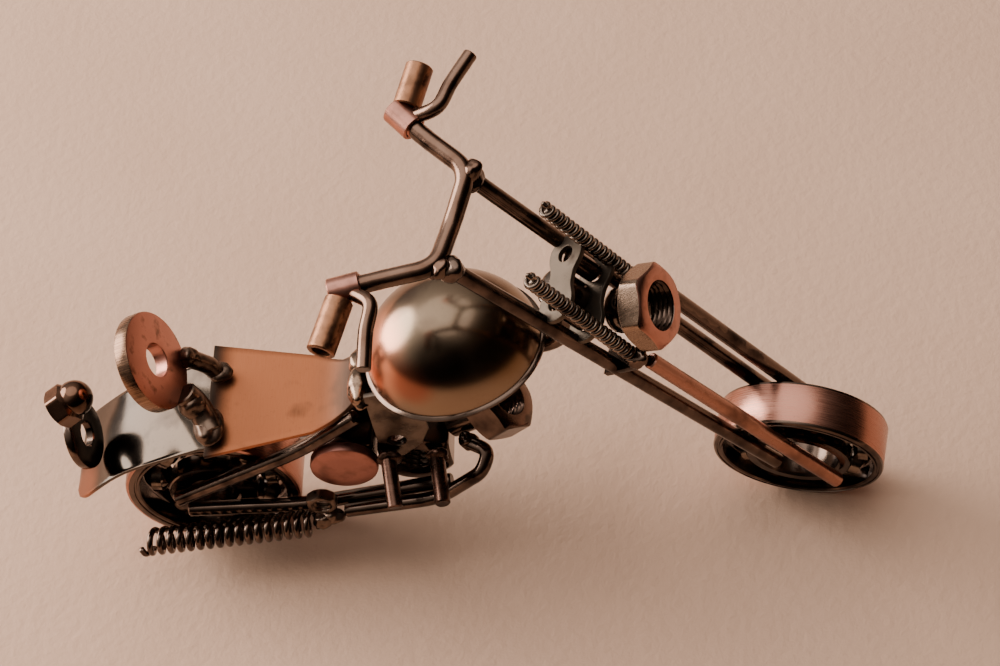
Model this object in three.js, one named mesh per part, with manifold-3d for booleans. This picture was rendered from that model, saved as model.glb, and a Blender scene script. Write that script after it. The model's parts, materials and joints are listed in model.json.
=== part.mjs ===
// Small chopper motorcycle welded together from ordinary hardware: ball bearings for wheels,
// bent rod for the frame and fork, a pressed dome for the tank, nuts, washers and coil springs.
// Millimetres, +Z up, +X forward, +Y to the bike's left. The finished group stands on z = 0 with
// its origin under the middle of its bounding box. The fork is drawn steered to the right.
import * as THREE from 'three';
import { mergeVertices } from 'three/addons/utils/BufferGeometryUtils.js';
import Module from 'manifold-3d';

const wasm = await Module();
wasm.setup();

// ---------------------------------------------------------------- driving dimensions
const WHEELBASE = 116.3;
const RAKE = THREE.MathUtils.degToRad(35.6);
const STEER = THREE.MathUtils.degToRad(-14.7);
const TRAIL = 3.0;
const SEAM = 0.3;
const RUNNING = 0.35;

const WHEEL_SIDES = 40;
const REAR = {
  outer: 17.5, shoulder: 14.6, width: 11, pitch: 11.75,
  ball: 3.0, balls: 8, inner: 8.85, bore: 5.0,
};
const FRONT = {
  outer: 16.5, shoulder: 14.6, width: 9, pitch: 12.35,
  ball: 2.25, balls: 10, inner: 10.1, bore: 7.8,
};
const GROOVE_CLEARANCE = 0.3;
const CAGE_WALL = 0.9;
const CAGE_WIDTH = 3.2;

const ROD_R = 1.5;
const ROD_SIDES = 8;
const BAR_R = 1.65;
const LEVER_R = 1.3;

const LEG_LOW_Y = FRONT.width / 2 + SEAM + ROD_R;
const REAR_LEG = { lowU: 1.6, lowS: 4.0, clampU: 0.86, clampY: 8.23, bead: 2.4 };
const FRONT_LEG = { lowU: 7.4, lowS: -7.5, topU: 8.0, lampGap: 0.1 };

const BAR_S = 94.9;
const BAR_TWIST = THREE.MathUtils.degToRad(-8);
const BAR_CORNER = { u: 0.5, y: 9.3 };
const BAR_MID = { u: -7.9, y: 14.0, s: 5.3 };
const BAR_END = { u: -13.0, y: 17.6, s: 9.1 };
const BAR_BOW = { u: -1.0, s: -1.4 };
const SLEEVE = { r: 2.45, from: 0.3, past: 0.5 };
const GRIP = { r: 2.5, bore: 1.6, depth: 6, right: 10.3, left: 8.4, seat: 0.55, forward: 0.03, lift: 0.04 };
const LEVER = { seat: 0.25, rootU: 0.6, rootY: 1.2 };
const LEVER_POINTS = [[-5.2, 19.0, 6.4], [-4.8, 24.0, 5.6], [-3.4, 30.3, 4.6]];

const LINK = { u: 3.4, halfPitch: 4.9, lobe: 3.8, waist: 2.7, hole: 1.6, t: 1.0 };
const LINK_TOP_S = 69.6;
const HEAD_TUBE = { r: 3.6, low: 62.9, high: 67.9 };
const STEM_R = 1.6;
const STEM_HEAD = { r: 3.7, t: 1.1 };
const ROLLER_R = 1.9;

const HEADLIGHT = { af: 14, t: 4.9, bore: 4.1, u: 13.8, drop: 1.3, dip: THREE.MathUtils.degToRad(10) };
const HEADLIGHT_TURN = THREE.MathUtils.degToRad(25);
const COLLAR = { r: 4.2, length: 4.9, back: 1.1, edge: 0.6, round: 1.6 };
const BRACKET = { low: 50.2, t: 1.2, uMin: -1.2, uMax: 6.2, halfWidth: 9.3 };
const FORK_SPRING = { r: 1.5, core: 1.15, length: 31, coils: 22, lowU: 6.0, topU: 8.2, y: 7.0 };

const RAIL_Y = REAR.width / 2 + SEAM + ROD_R;
// Heights named up are above the rear axle, and those named over are above the seat's top face.
const STRUT = {
  footX: -6.5, footUp: 1.9, kneeX: 21.1, kneeOver: -6.8,
  topX: 33.5, topY: 6.4, topOver: 2.1, bend: 5,
};
const RAIL = { rearX: -5.3, rearUp: -2.1, kneeX: 18, kneeUp: -2.95, frontX: 48.4, frontUp: 2.65, bend: 5 };
const BACKBONE = {
  rearX: 36.6, rearOver: 5.0, midX: 61.0, midOver: 8.4,
  pastTank: 3.7, frontOver: 12.2, bend: 4,
};
const TANK = { a: 16.8, b: 15.0, c: 15.5, wall: 1.2, lip: 0.6, lipHeight: 0.9, front: 70.7, over: 11.0 };
const TANK_PITCH = THREE.MathUtils.degToRad(10);
const TANK_POST_R = 2.0;
const SEAT = {
  rear: 4.6, front: 34.5, up: 25.15, t: 0.9, rearHalf: 13, midHalf: 8.8, frontHalf: 4.2, mid: 25, rise: 5,
};
const FENDER = {
  t: 0.8, half: 10, frontX: 5.4, frontOver: -1.3,
  tailPast: 8.1, tailOver: -17.7, bow: 2.9, corner: 3,
};

const BACKREST = { r: 9.5, hole: 3.2, t: 2.8, x: -3.0, over: 13.8, lean: THREE.MathUtils.degToRad(22) };
const BACKREST_POST = {
  rootX: 6.6, tipX: 1.4, right: { y: -3.2, r: 2.0, over: 7.6 }, left: { y: 5.0, r: 1.5, over: 8.4 },
};
const TAIL_WASHER = {
  r: 6.8, hole: 2.4, t: 1.7, pastTyre: 3.7, y: -2.5,
  over: -5.0, lean: THREE.MathUtils.degToRad(12),
};
const ACORN = {
  af: 7.4, hex: 3.6, dome: 3.5, domeUp: 0.9, bore: 1.9,
  depth: 4.6, pastTyre: 2.7, y: -2.6, over: 6.8,
};
const ACORN_AIM = new THREE.Vector3(0.86, 0.3, 0.42).normalize();

const CRANKCASE = { af: 14, bore: 3.2, half: RAIL_Y - ROD_R - SEAM, x: 42, up: 8.05 };
const GEARBOX = { af: 11.6, bore: 3.0, half: 6.9, x: 28.9, under: 9.9 };
const COVER = { r: 6.6, t: 2.2, edge: 0.6 };
const CYLINDER_R = 3.0;
const FRONT_NUT = { af: 13, t: 6.5, bore: 3.6, x: 59.2, up: 17.95, lift: THREE.MathUtils.degToRad(40) };
const REAR_NUT = { af: 8, t: 5, bore: 2.5, x: 38.6, over: 0.6 };
const EAR = { t: 1.0, hole: 1.8, x: 39.9, up: 17.35, rearX: 36.2, frontX: 46.5, topOver: 8.2, foot: 11.5 };
const PEG = { r: 1.5, tipY: 17.4 };
const REAR_PEG = { rootX: 37.6, rootUp: 13.95, tipX: 38.8, tipUp: 10.15 };
const FRONT_PEG = { rootX: 46.6, rootUp: 11.45, tipX: 48.0, tipUp: 10.55 };

const EXHAUST_R = 1.4;
const EXHAUST_Y = -(RAIL_Y + ROD_R + SEAM + EXHAUST_R);
const EXHAUST = {
  rootX: 52.4, rootUp: 12.25, elbowX: 57.0, elbowY: -7.6, elbowUp: 12.95, dropX: 55.4, dropUp: 10.15,
  footX: 45.8, footUp: 1.55, rearX: 26.8, rearUp: -1.05, bend: 4,
};
const MUFFLER = {
  r: 2.35, wire: 0.55, rear: -13.9, front: 20.6,
  outset: 1.7, rearUp: -5.85, frontUp: -2.05, pitch: 2.0,
};
const RING_NUT = { af: 5.6, t: 2.4, bore: 1.6, x: 22.9, outset: 0.3, up: 3.45 };
const EXHAUST_WELD = { x: 24.1, outset: 0.9, up: -1.25, size: [2.1, 1.5, 1.6] };

// ---------------------------------------------------------------- materials
const FINISHES = {
  copper: { color: 0xb8735a, roughness: 0.34, metalness: 0.95 },
  nickel: { color: 0x4a403a, roughness: 0.2, metalness: 0.95 },
  bronze: { color: 0x7a5a45, roughness: 0.25, metalness: 0.95 },
  steel: { color: 0xa89a8c, roughness: 0.4, metalness: 0.9 },
};

function addMesh(parent, name, geometry, finish) {
  const mesh = new THREE.Mesh(geometry, new THREE.MeshStandardMaterial(FINISHES[finish]));
  mesh.name = name;
  parent.add(mesh);
  return mesh;
}

// ---------------------------------------------------------------- booleans
function toSolid(geometry) {
  const bare = geometry.clone();
  bare.deleteAttribute('normal');
  bare.deleteAttribute('uv');
  const merged = mergeVertices(bare, 1e-4);
  return new wasm.Manifold(new wasm.Mesh({
    numProp: 3,
    vertProperties: new Float32Array(merged.attributes.position.array),
    triVerts: new Uint32Array(merged.index.array),
  }));
}

function toGeometry(solid) {
  const mesh = solid.getMesh();
  const geometry = new THREE.BufferGeometry();
  geometry.setAttribute('position', new THREE.BufferAttribute(new Float32Array(mesh.vertProperties), 3));
  geometry.setIndex(new THREE.BufferAttribute(new Uint32Array(mesh.triVerts), 1));
  geometry.computeVertexNormals();
  return geometry;
}

function cut(geometry, cutters) {
  return toGeometry(cutters.reduce((solid, cutter) => solid.subtract(toSolid(cutter)), toSolid(geometry)));
}

function join(geometries) {
  return toGeometry(geometries.slice(1).reduce((solid, g) => solid.add(toSolid(g)), toSolid(geometries[0])));
}

function overlap(first, second) {
  return toGeometry(toSolid(first).intersect(toSolid(second)));
}

// ---------------------------------------------------------------- shape helpers
const vec = (x, y, z) => new THREE.Vector3(x, y, z);
const up = vec(0, 0, 1);

// A cylinder about Z, from z = 0 upwards.
function cylinder(radius, height, sides = 24) {
  return new THREE.CylinderGeometry(radius, radius, height, sides)
    .rotateX(Math.PI / 2)
    .translate(0, 0, height / 2);
}

// Turned shape about Z from [radius, height] pairs.
function turned(profile, sides = 24) {
  const points = profile.map(([r, h]) => new THREE.Vector2(r, h));
  return new THREE.LatheGeometry(points, sides).rotateX(Math.PI / 2);
}

// Ring about Z with chamfered edges, centred on z = 0; it closes on itself.
function ring(outer, hole, thickness, chamfer = 0.3, sides = 28) {
  const h = thickness / 2;
  return turned([
    [hole, -h], [outer - chamfer, -h], [outer, -h + chamfer],
    [outer, h - chamfer], [outer - chamfer, h], [hole, h], [hole, -h],
  ], sides);
}

// Straight rod between two points.
function straightRod(start, end, radius, sides = ROD_SIDES) {
  const along = end.clone().sub(start);
  const turn = new THREE.Quaternion().setFromUnitVectors(up, along.clone().normalize());
  return cylinder(radius, along.length(), sides).applyQuaternion(turn).translate(start.x, start.y, start.z);
}

// Circular section swept along a curve.
function sweptRod(curve, radius, steps, sides = ROD_SIDES) {
  const section = new THREE.Shape();
  for (let i = 0; i < sides; i += 1) {
    const angle = (i / sides) * 2 * Math.PI;
    const move = i === 0 ? 'moveTo' : 'lineTo';
    section[move](radius * Math.cos(angle), radius * Math.sin(angle));
  }
  return new THREE.ExtrudeGeometry(section, { steps, extrudePath: curve, bevelEnabled: false });
}

// Corner points joined by straight runs, each corner rounded with the given radius.
function bentPath(points, bend) {
  const path = new THREE.CurvePath();
  let from = points[0];
  for (let i = 1; i < points.length - 1; i += 1) {
    const before = points[i - 1].clone().sub(points[i]);
    const after = points[i + 1].clone().sub(points[i]);
    const reach = Math.min(bend, before.length() / 2.2, after.length() / 2.2);
    const enter = points[i].clone().addScaledVector(before.normalize(), reach);
    const leave = points[i].clone().addScaledVector(after.normalize(), reach);
    path.add(new THREE.LineCurve3(from, enter));
    path.add(new THREE.QuadraticBezierCurve3(enter, points[i], leave));
    from = leave;
  }
  path.add(new THREE.LineCurve3(from, points[points.length - 1]));
  return path;
}

// Flat plate from a shape in XY, from z = 0 up to its thickness.
function plate(shape, thickness, curveSegments = 12) {
  return new THREE.ExtrudeGeometry(shape, { depth: thickness, bevelEnabled: false, curveSegments });
}

// Shape in XZ extruded symmetrically along Y.
function sideExtrusion(shape, halfWidth, curveSegments = 12) {
  return plate(shape, 2 * halfWidth, curveSegments)
    .rotateX(Math.PI / 2)
    .translate(0, halfWidth, 0);
}

function polygon(points) {
  return new THREE.Shape(points.map(([x, y]) => new THREE.Vector2(x, y)));
}

// Hexagon nut about Z, centred on z = 0, both rims chamfered; a flat faces +X.
function hexNut(acrossFlats, thickness, bore) {
  const corner = acrossFlats / Math.sqrt(3);
  const chamfer = (corner - acrossFlats / 2) * 0.6;
  const prism = cylinder(corner, thickness, 6).rotateZ(Math.PI / 6).translate(0, 0, -thickness / 2);
  const h = thickness / 2;
  const rounding = turned([
    [0, -h], [acrossFlats / 2, -h], [corner + 0.01, -h + chamfer],
    [corner + 0.01, h - chamfer], [acrossFlats / 2, h], [0, h],
  ], 24);
  const hole = cylinder(bore, thickness + 2, 16).translate(0, 0, -h - 1);
  return cut(overlap(prism, rounding), [hole]);
}

// ---------------------------------------------------------------- bearings
// Half-circle groove for the balls, as profile points about the pitch circle.
function groove(size, side) {
  const radius = size.ball + GROOVE_CLEARANCE;
  const wall = side > 0 ? size.shoulder : size.inner;
  const half = Math.sqrt(radius * radius - (wall - size.pitch) ** 2);
  const reach = Math.atan2(half, Math.abs(wall - size.pitch));
  return Array.from({ length: 5 }, (_, i) => {
    const angle = reach * (1 - i / 2);
    return [size.pitch + side * radius * Math.cos(angle), radius * Math.sin(angle)];
  });
}

// Bearing pieces are turned about Z and then laid on their side, so their axis is Y.
function outerRace(size) {
  const h = size.width / 2;
  const edge = 0.5;
  const profile = [
    [size.shoulder, h], ...groove(size, 1), [size.shoulder, -h],
    [size.outer - edge, -h], [size.outer, -h + edge], [size.outer, h - edge], [size.outer - edge, h],
    [size.shoulder, h],
  ];
  return turned(profile, WHEEL_SIDES).rotateX(Math.PI / 2).rotateY(Math.PI / WHEEL_SIDES);
}

function innerRace(size) {
  const h = size.width / 2;
  const profile = [[size.inner, h], ...groove(size, -1), [size.inner, -h], [size.bore, -h], [size.bore, h],
    [size.inner, h]];
  return turned(profile.reverse(), 28).rotateX(Math.PI / 2);
}

function ballCage(size) {
  const w = CAGE_WIDTH / 2;
  const [low, high] = [size.pitch - CAGE_WALL / 2, size.pitch + CAGE_WALL / 2];
  const band = turned([[low, -w], [high, -w], [high, w], [low, w], [low, -w]], 24);
  const balls = Array.from({ length: size.balls }, (_, i) => {
    const angle = (i / size.balls) * 2 * Math.PI;
    return new THREE.SphereGeometry(size.ball, 8, 6)
      .translate(size.pitch * Math.cos(angle), size.pitch * Math.sin(angle), 0);
  });
  return join([band, ...balls]).rotateX(Math.PI / 2);
}

// ---------------------------------------------------------------- scene
const bike = new THREE.Group();
const axleZ = REAR.outer * Math.cos(Math.PI / WHEEL_SIDES);
const seatZ = axleZ + SEAT.up;

const rearAxle = new THREE.Group();
rearAxle.position.set(0, 0, axleZ);
bike.add(rearAxle);
addMesh(rearAxle, 'rear_tyre', outerRace(REAR), 'copper');
addMesh(rearAxle, 'rear_ball_cage', ballCage(REAR), 'nickel');
addMesh(rearAxle, 'rear_inner_race', innerRace(REAR), 'nickel');

// The fork's own axes: X square to the steering axis and forward, Y left, Z up along the axis.
const rakeTurn = new THREE.Quaternion().setFromAxisAngle(vec(0, 1, 0), -RAKE);
const steerTurn = new THREE.Quaternion().setFromAxisAngle(up, STEER);
const forkTurn = rakeTurn.clone().multiply(steerTurn);
const forkForward = vec(1, 0, 0).applyQuaternion(forkTurn);
const frontAxle = vec(0, 1, 0).applyQuaternion(forkTurn);
const leanedRadius = FRONT.outer * Math.cos(Math.PI / WHEEL_SIDES) * Math.sqrt(1 - frontAxle.z ** 2);
const frontCentreZ = leanedRadius + (FRONT.width / 2) * Math.abs(frontAxle.z);
const axisFoot = vec(WHEELBASE - TRAIL * forkForward.x, 0, frontCentreZ - TRAIL * forkForward.z);

const fork = new THREE.Group();
fork.position.copy(axisFoot);
fork.quaternion.copy(forkTurn);
bike.add(fork);

// A point of the frame given in the fork's unsteered axes.
function atHead(u, y, s) {
  return vec(u, y, s).applyQuaternion(rakeTurn).add(axisFoot);
}

// ---------------------------------------------------------------- fork
const frontWheel = new THREE.Group();
frontWheel.position.set(TRAIL, 0, 0);
fork.add(frontWheel);
addMesh(frontWheel, 'front_tyre', outerRace(FRONT), 'copper');
addMesh(frontWheel, 'front_ball_cage', ballCage(FRONT), 'nickel');
addMesh(frontWheel, 'front_inner_race', innerRace(FRONT), 'nickel');

const legTopS = BAR_S - BAR_R - 2.5 * SEAM;
// The rear legs run from the wheel past the clamp plates and on, in line, to just below the bar.
const rearLegEnds = (side) => {
  const low = vec(REAR_LEG.lowU, side * LEG_LOW_Y, REAR_LEG.lowS);
  const clamp = vec(REAR_LEG.clampU, side * REAR_LEG.clampY, LINK_TOP_S);
  return [low, low.clone().lerp(clamp, (legTopS - REAR_LEG.lowS) / (LINK_TOP_S - REAR_LEG.lowS))];
};
const frontLegEnds = (side) => [
  vec(FRONT_LEG.lowU, side * LEG_LOW_Y, FRONT_LEG.lowS),
  vec(FRONT_LEG.topU, side * (HEADLIGHT.af / 2 + FRONT_LEG.lampGap), BRACKET.low - 2 * SEAM),
];
const springLowS = BRACKET.low + BRACKET.t + 2 * SEAM;
const springEnds = (side) => [
  vec(FORK_SPRING.lowU, side * FORK_SPRING.y, springLowS),
  vec(FORK_SPRING.topU, side * FORK_SPRING.y, springLowS + FORK_SPRING.length),
];

const barTurn = new THREE.Quaternion().setFromAxisAngle(up, BAR_TWIST);
const onBar = (u, y, s) => vec(u, y, s).applyQuaternion(barTurn).add(vec(0, 0, BAR_S));
const barPoints = [
  onBar(BAR_END.u, -BAR_END.y, BAR_END.s), onBar(BAR_MID.u, -BAR_MID.y, BAR_MID.s),
  onBar(BAR_CORNER.u, -BAR_CORNER.y, 0), onBar(BAR_BOW.u, 0, BAR_BOW.s), onBar(BAR_CORNER.u, BAR_CORNER.y, 0),
  onBar(BAR_MID.u, BAR_MID.y, BAR_MID.s), onBar(BAR_END.u, BAR_END.y, BAR_END.s),
];
const BAR_BEND = 3.0;
const BAR_STEPS = 36;
const barPath = bentPath(barPoints, BAR_BEND);
addMesh(fork, 'handlebar', sweptRod(barPath, BAR_R, BAR_STEPS), 'bronze');

// Ridged rod standing for a close-wound coil, about Z with a pointed tip.
function coilRod(size) {
  const tip = size.r * 1.4;
  const step = (size.length - tip) / size.coils;
  const profile = [[0, 0], [size.core, 0]];
  for (let i = 0; i < size.coils; i += 1) {
    profile.push([size.r, step * (i + 0.5)], [size.core, step * (i + 1)]);
  }
  profile.push([0, size.length]);
  return turned(profile, 8);
}

for (const [name, side] of [['right', -1], ['left', 1]]) {
  const barCutter = sweptRod(barPath, BAR_R + SEAM, BAR_STEPS);
  const [rearLow, rearTop] = rearLegEnds(side);
  const bead = new THREE.SphereGeometry(REAR_LEG.bead, 10, 6).translate(rearTop.x, rearTop.y, rearTop.z);
  const rearLeg = cut(join([straightRod(rearLow, rearTop, ROD_R), bead]), [barCutter]);
  addMesh(fork, `fork_leg_rear_${name}`, rearLeg, 'nickel');
  addMesh(fork, `fork_leg_front_${name}`, straightRod(...frontLegEnds(side), ROD_R), 'copper');

  const spring = addMesh(fork, `fork_spring_${name}`, coilRod(FORK_SPRING), 'nickel');
  const [springLow, springTop] = springEnds(side);
  spring.position.copy(springLow);
  spring.quaternion.setFromUnitVectors(up, springTop.clone().sub(springLow).normalize());

  const armMid = onBar(BAR_MID.u, side * BAR_MID.y, BAR_MID.s);
  const armEnd = onBar(BAR_END.u, side * BAR_END.y, BAR_END.s);
  const sleeveLow = armMid.clone().lerp(armEnd, SLEEVE.from);
  const sleeveTop = armEnd.clone().add(armEnd.clone().sub(armMid).setLength(SLEEVE.past));
  const armAim = armEnd.clone().sub(armMid).normalize();
  const longRod = (radius, extra) => straightRod(
    sleeveLow.clone().addScaledVector(armAim, -extra), sleeveTop.clone().addScaledVector(armAim, extra),
    radius, 16);
  const sleeve = cut(longRod(SLEEVE.r, 0), [longRod(BAR_R + SEAM, 2)]);
  addMesh(fork, `bar_sleeve_${name}`, sleeve, 'copper');
  const sleeveCutter = longRod(SLEEVE.r + SEAM, 2);

  const gripAim = vec(GRIP.forward, side, GRIP.lift).applyQuaternion(barTurn).normalize();
  const gripRoot = sleeveLow.clone().lerp(sleeveTop, GRIP.seat).addScaledVector(gripAim, SLEEVE.r * 0.7);
  const gripEnd = gripRoot.clone().addScaledVector(gripAim, GRIP[name]);
  const gripBore = straightRod(
    gripEnd.clone().addScaledVector(gripAim, -GRIP.depth), gripEnd.clone().addScaledVector(gripAim, 1),
    GRIP.bore, 12);
  const grip = cut(straightRod(gripRoot, gripEnd, GRIP.r, 16), [sleeveCutter, gripBore]);
  addMesh(fork, `grip_${name}`, grip, 'bronze');

  const leverShift = vec(LEVER.rootU, side * LEVER.rootY, 0).applyQuaternion(barTurn);
  const lever = new THREE.CatmullRomCurve3([
    sleeveLow.clone().lerp(sleeveTop, LEVER.seat).add(leverShift),
    ...LEVER_POINTS.map(([u, y, s]) => onBar(u, side * y, s)),
  ]);
  const gripCutter = straightRod(
    gripRoot.clone().addScaledVector(gripAim, -SEAM), gripEnd.clone().addScaledVector(gripAim, SEAM),
    GRIP.r + SEAM, 16);
  addMesh(fork, `lever_${name}`, cut(sweptRod(lever, LEVER_R, 14, 8), [sleeveCutter, gripCutter]), 'bronze');

  const rollerLength = LINK_TOP_S - SEAM - HEAD_TUBE.low;
  const roller = addMesh(fork, `clamp_roller_${name}`, cylinder(ROLLER_R, rollerLength, 16), 'nickel');
  roller.position.set(LINK.u, side * LINK.halfPitch, HEAD_TUBE.low);
}

// Chain-link clamp plate: two round lobes joined by a waist, each lobe with a hole.
function linkPlate() {
  const lobes = [-1, 1].map((side) => cylinder(LINK.lobe, LINK.t, 28).translate(LINK.u, side * LINK.halfPitch, 0));
  const waist = new THREE.BoxGeometry(2 * LINK.waist, 2 * LINK.halfPitch, LINK.t).translate(LINK.u, 0, LINK.t / 2);
  const holes = [-1, 1].map((side) => cylinder(LINK.hole, LINK.t + 2, 16)
    .translate(LINK.u, side * LINK.halfPitch, -1));
  return cut(join([...lobes, waist]), holes);
}

// Envelopes that the plates across the fork are notched for.
function forkCutters(drop) {
  return [-1, 1].flatMap((side) => [
    straightRod(...rearLegEnds(side), ROD_R + SEAM).translate(0, 0, -drop),
    straightRod(...springEnds(side), FORK_SPRING.r + SEAM).translate(0, 0, -drop),
  ]);
}

const linkBottomS = HEAD_TUBE.low - SEAM - LINK.t;
for (const [name, s] of [['top', LINK_TOP_S], ['bottom', linkBottomS]]) {
  addMesh(fork, `clamp_plate_${name}`, cut(linkPlate(), forkCutters(s)), 'steel').position.set(0, 0, s);
}

const stemHeadS = HEAD_TUBE.high + SEAM;
const stemProfile = [
  [0, HEAD_TUBE.low], [STEM_R, HEAD_TUBE.low], [STEM_R, stemHeadS], [STEM_HEAD.r, stemHeadS],
  [STEM_HEAD.r, stemHeadS + STEM_HEAD.t * 0.6], [STEM_HEAD.r - 0.5, stemHeadS + STEM_HEAD.t],
  [0, stemHeadS + STEM_HEAD.t],
];
addMesh(fork, 'steering_stem', turned(stemProfile, 28), 'nickel');

// Headlight: a nut facing forward with a round collar behind it.
const lampAim = vec(Math.cos(HEADLIGHT.dip), 0, -Math.sin(HEADLIGHT.dip));
const lampGapMid = (BRACKET.low + BRACKET.t + linkBottomS) / 2;
const lampFace = vec(HEADLIGHT.u, 0, lampGapMid - HEADLIGHT.drop);
const lampTurn = new THREE.Quaternion().setFromUnitVectors(up, lampAim);
const lampRoll = new THREE.Quaternion().setFromAxisAngle(up, HEADLIGHT_TURN);
const lamp = addMesh(fork, 'headlight_nut', hexNut(HEADLIGHT.af, HEADLIGHT.t, HEADLIGHT.bore), 'copper');
lamp.position.copy(lampFace).addScaledVector(lampAim, -HEADLIGHT.t / 2);
lamp.quaternion.copy(lampTurn).multiply(lampRoll);
const collarProfile = [
  [0, 0], [COLLAR.r - COLLAR.back, 0], [COLLAR.r - COLLAR.edge / 2, COLLAR.edge], [COLLAR.r, COLLAR.round],
  [COLLAR.r, COLLAR.length - COLLAR.edge], [COLLAR.r - COLLAR.edge, COLLAR.length], [0, COLLAR.length],
];
const collar = addMesh(fork, 'headlight_collar', turned(collarProfile, 28), 'nickel');
collar.position.copy(lampFace).addScaledVector(lampAim, -(HEADLIGHT.t + SEAM + COLLAR.length));
collar.quaternion.copy(lampTurn);

const bracketShape = polygon([
  [BRACKET.uMin, -BRACKET.halfWidth], [BRACKET.uMax, -BRACKET.halfWidth],
  [BRACKET.uMax, BRACKET.halfWidth], [BRACKET.uMin, BRACKET.halfWidth],
]);
const bracket = cut(plate(bracketShape, BRACKET.t), forkCutters(BRACKET.low));
addMesh(fork, 'headlight_bracket', bracket, 'nickel').position.set(0, 0, BRACKET.low);

// ---------------------------------------------------------------- frame
const tubeBody = cut(cylinder(HEAD_TUBE.r, HEAD_TUBE.high - HEAD_TUBE.low, 28), [
  cylinder(STEM_R + RUNNING, HEAD_TUBE.high - HEAD_TUBE.low + 2, 20).translate(0, 0, -1),
]);
const headTube = addMesh(bike, 'head_tube', tubeBody, 'nickel');
headTube.position.copy(atHead(0, 0, HEAD_TUBE.low));
headTube.quaternion.copy(rakeTurn);

const headMid = (HEAD_TUBE.low + HEAD_TUBE.high) / 2;
const backbonePath = bentPath([
  vec(BACKBONE.rearX, 0, seatZ + BACKBONE.rearOver), vec(BACKBONE.midX, 0, seatZ + BACKBONE.midOver),
  vec(TANK.front + BACKBONE.pastTank, 0, seatZ + BACKBONE.frontOver), atHead(0, 0, headMid),
], BACKBONE.bend);
const headEnvelope = straightRod(
  atHead(0, 0, HEAD_TUBE.low - 5), atHead(0, 0, HEAD_TUBE.high + 5), HEAD_TUBE.r + SEAM, 28);
addMesh(bike, 'backbone', cut(sweptRod(backbonePath, ROD_R, 26), [headEnvelope]), 'nickel');

const crankCentre = vec(CRANKCASE.x, 0, axleZ + CRANKCASE.up);
// The gearbox hangs below the seat by its own drop and the thickness of the struts beside it.
const gearCentre = vec(GEARBOX.x, 0, seatZ - GEARBOX.under - 2 * ROD_R);

for (const [name, side] of [['right', -1], ['left', 1]]) {
  const y = side * RAIL_Y;
  const strut = bentPath([
    vec(STRUT.footX, y, axleZ + STRUT.footUp), vec(STRUT.kneeX, y, seatZ + STRUT.kneeOver - ROD_R),
    vec(STRUT.topX, side * STRUT.topY, seatZ + STRUT.topOver - ROD_R),
  ], STRUT.bend);
  addMesh(bike, `rear_strut_${name}`, sweptRod(strut, ROD_R, 16), 'nickel');
  const rail = bentPath([
    vec(RAIL.rearX, y, axleZ + RAIL.rearUp), vec(RAIL.kneeX, y, axleZ + RAIL.kneeUp),
    vec(RAIL.frontX, y, axleZ + RAIL.frontUp),
  ], RAIL.bend);
  addMesh(bike, `frame_rail_${name}`, sweptRod(rail, ROD_R, 14), 'nickel');

  const coverDisc = turned([
    [0, -COVER.t / 2], [COVER.r, -COVER.t / 2], [COVER.r, COVER.t / 2 - COVER.edge],
    [COVER.r - COVER.edge, COVER.t / 2], [0, COVER.t / 2],
  ], 32);
  const cover = addMesh(bike, `engine_cover_${name}`, coverDisc, 'copper');
  cover.position.copy(gearCentre).setY(side * (GEARBOX.half + SEAM + COVER.t / 2));
  cover.rotation.x = side > 0 ? -Math.PI / 2 : Math.PI / 2;

  const rearPegY = CRANKCASE.half + EAR.t + 4 * SEAM;
  const frontPegY = CRANKCASE.half + 2 * SEAM;
  for (const [end, peg, rootY] of [['rear', REAR_PEG, rearPegY], ['front', FRONT_PEG, frontPegY]]) {
    const root = vec(peg.rootX, side * rootY, axleZ + peg.rootUp);
    const tip = vec(peg.tipX, side * PEG.tipY, axleZ + peg.tipUp);
    addMesh(bike, `peg_${end}_${name}`, straightRod(root, tip, PEG.r), 'copper');
  }

  // Ear plate: from beside the crankcase up to the seat's nose, with its front foot cut away.
  const earTop = seatZ + EAR.topOver;
  const earFoot = axleZ + EAR.foot;
  const earShape = polygon([
    [EAR.rearX, earTop - 0.9], [EAR.frontX, earTop + 0.9], [EAR.frontX, earFoot + 9.2],
    [EAR.frontX - 1.9, earFoot + 4.2], [EAR.frontX - 5.9, earFoot + 0.5], [EAR.rearX, earFoot],
  ]);
  earShape.holes.push(new THREE.Path().absarc(EAR.x, axleZ + EAR.up, EAR.hole, 0, 2 * Math.PI));
  const ear = addMesh(bike, `engine_ear_${name}`, sideExtrusion(earShape, EAR.t / 2), 'steel');
  ear.position.set(0, side * (CRANKCASE.half + SEAM + EAR.t / 2), 0);
}

const crankcase = addMesh(bike, 'crankcase', hexNut(CRANKCASE.af, 2 * CRANKCASE.half, CRANKCASE.bore), 'nickel');
crankcase.position.copy(crankCentre);
crankcase.rotation.x = Math.PI / 2;
const gearbox = addMesh(bike, 'gearbox', hexNut(GEARBOX.af, 2 * GEARBOX.half, GEARBOX.bore), 'nickel');
gearbox.position.copy(gearCentre);
gearbox.rotation.x = Math.PI / 2;

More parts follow.
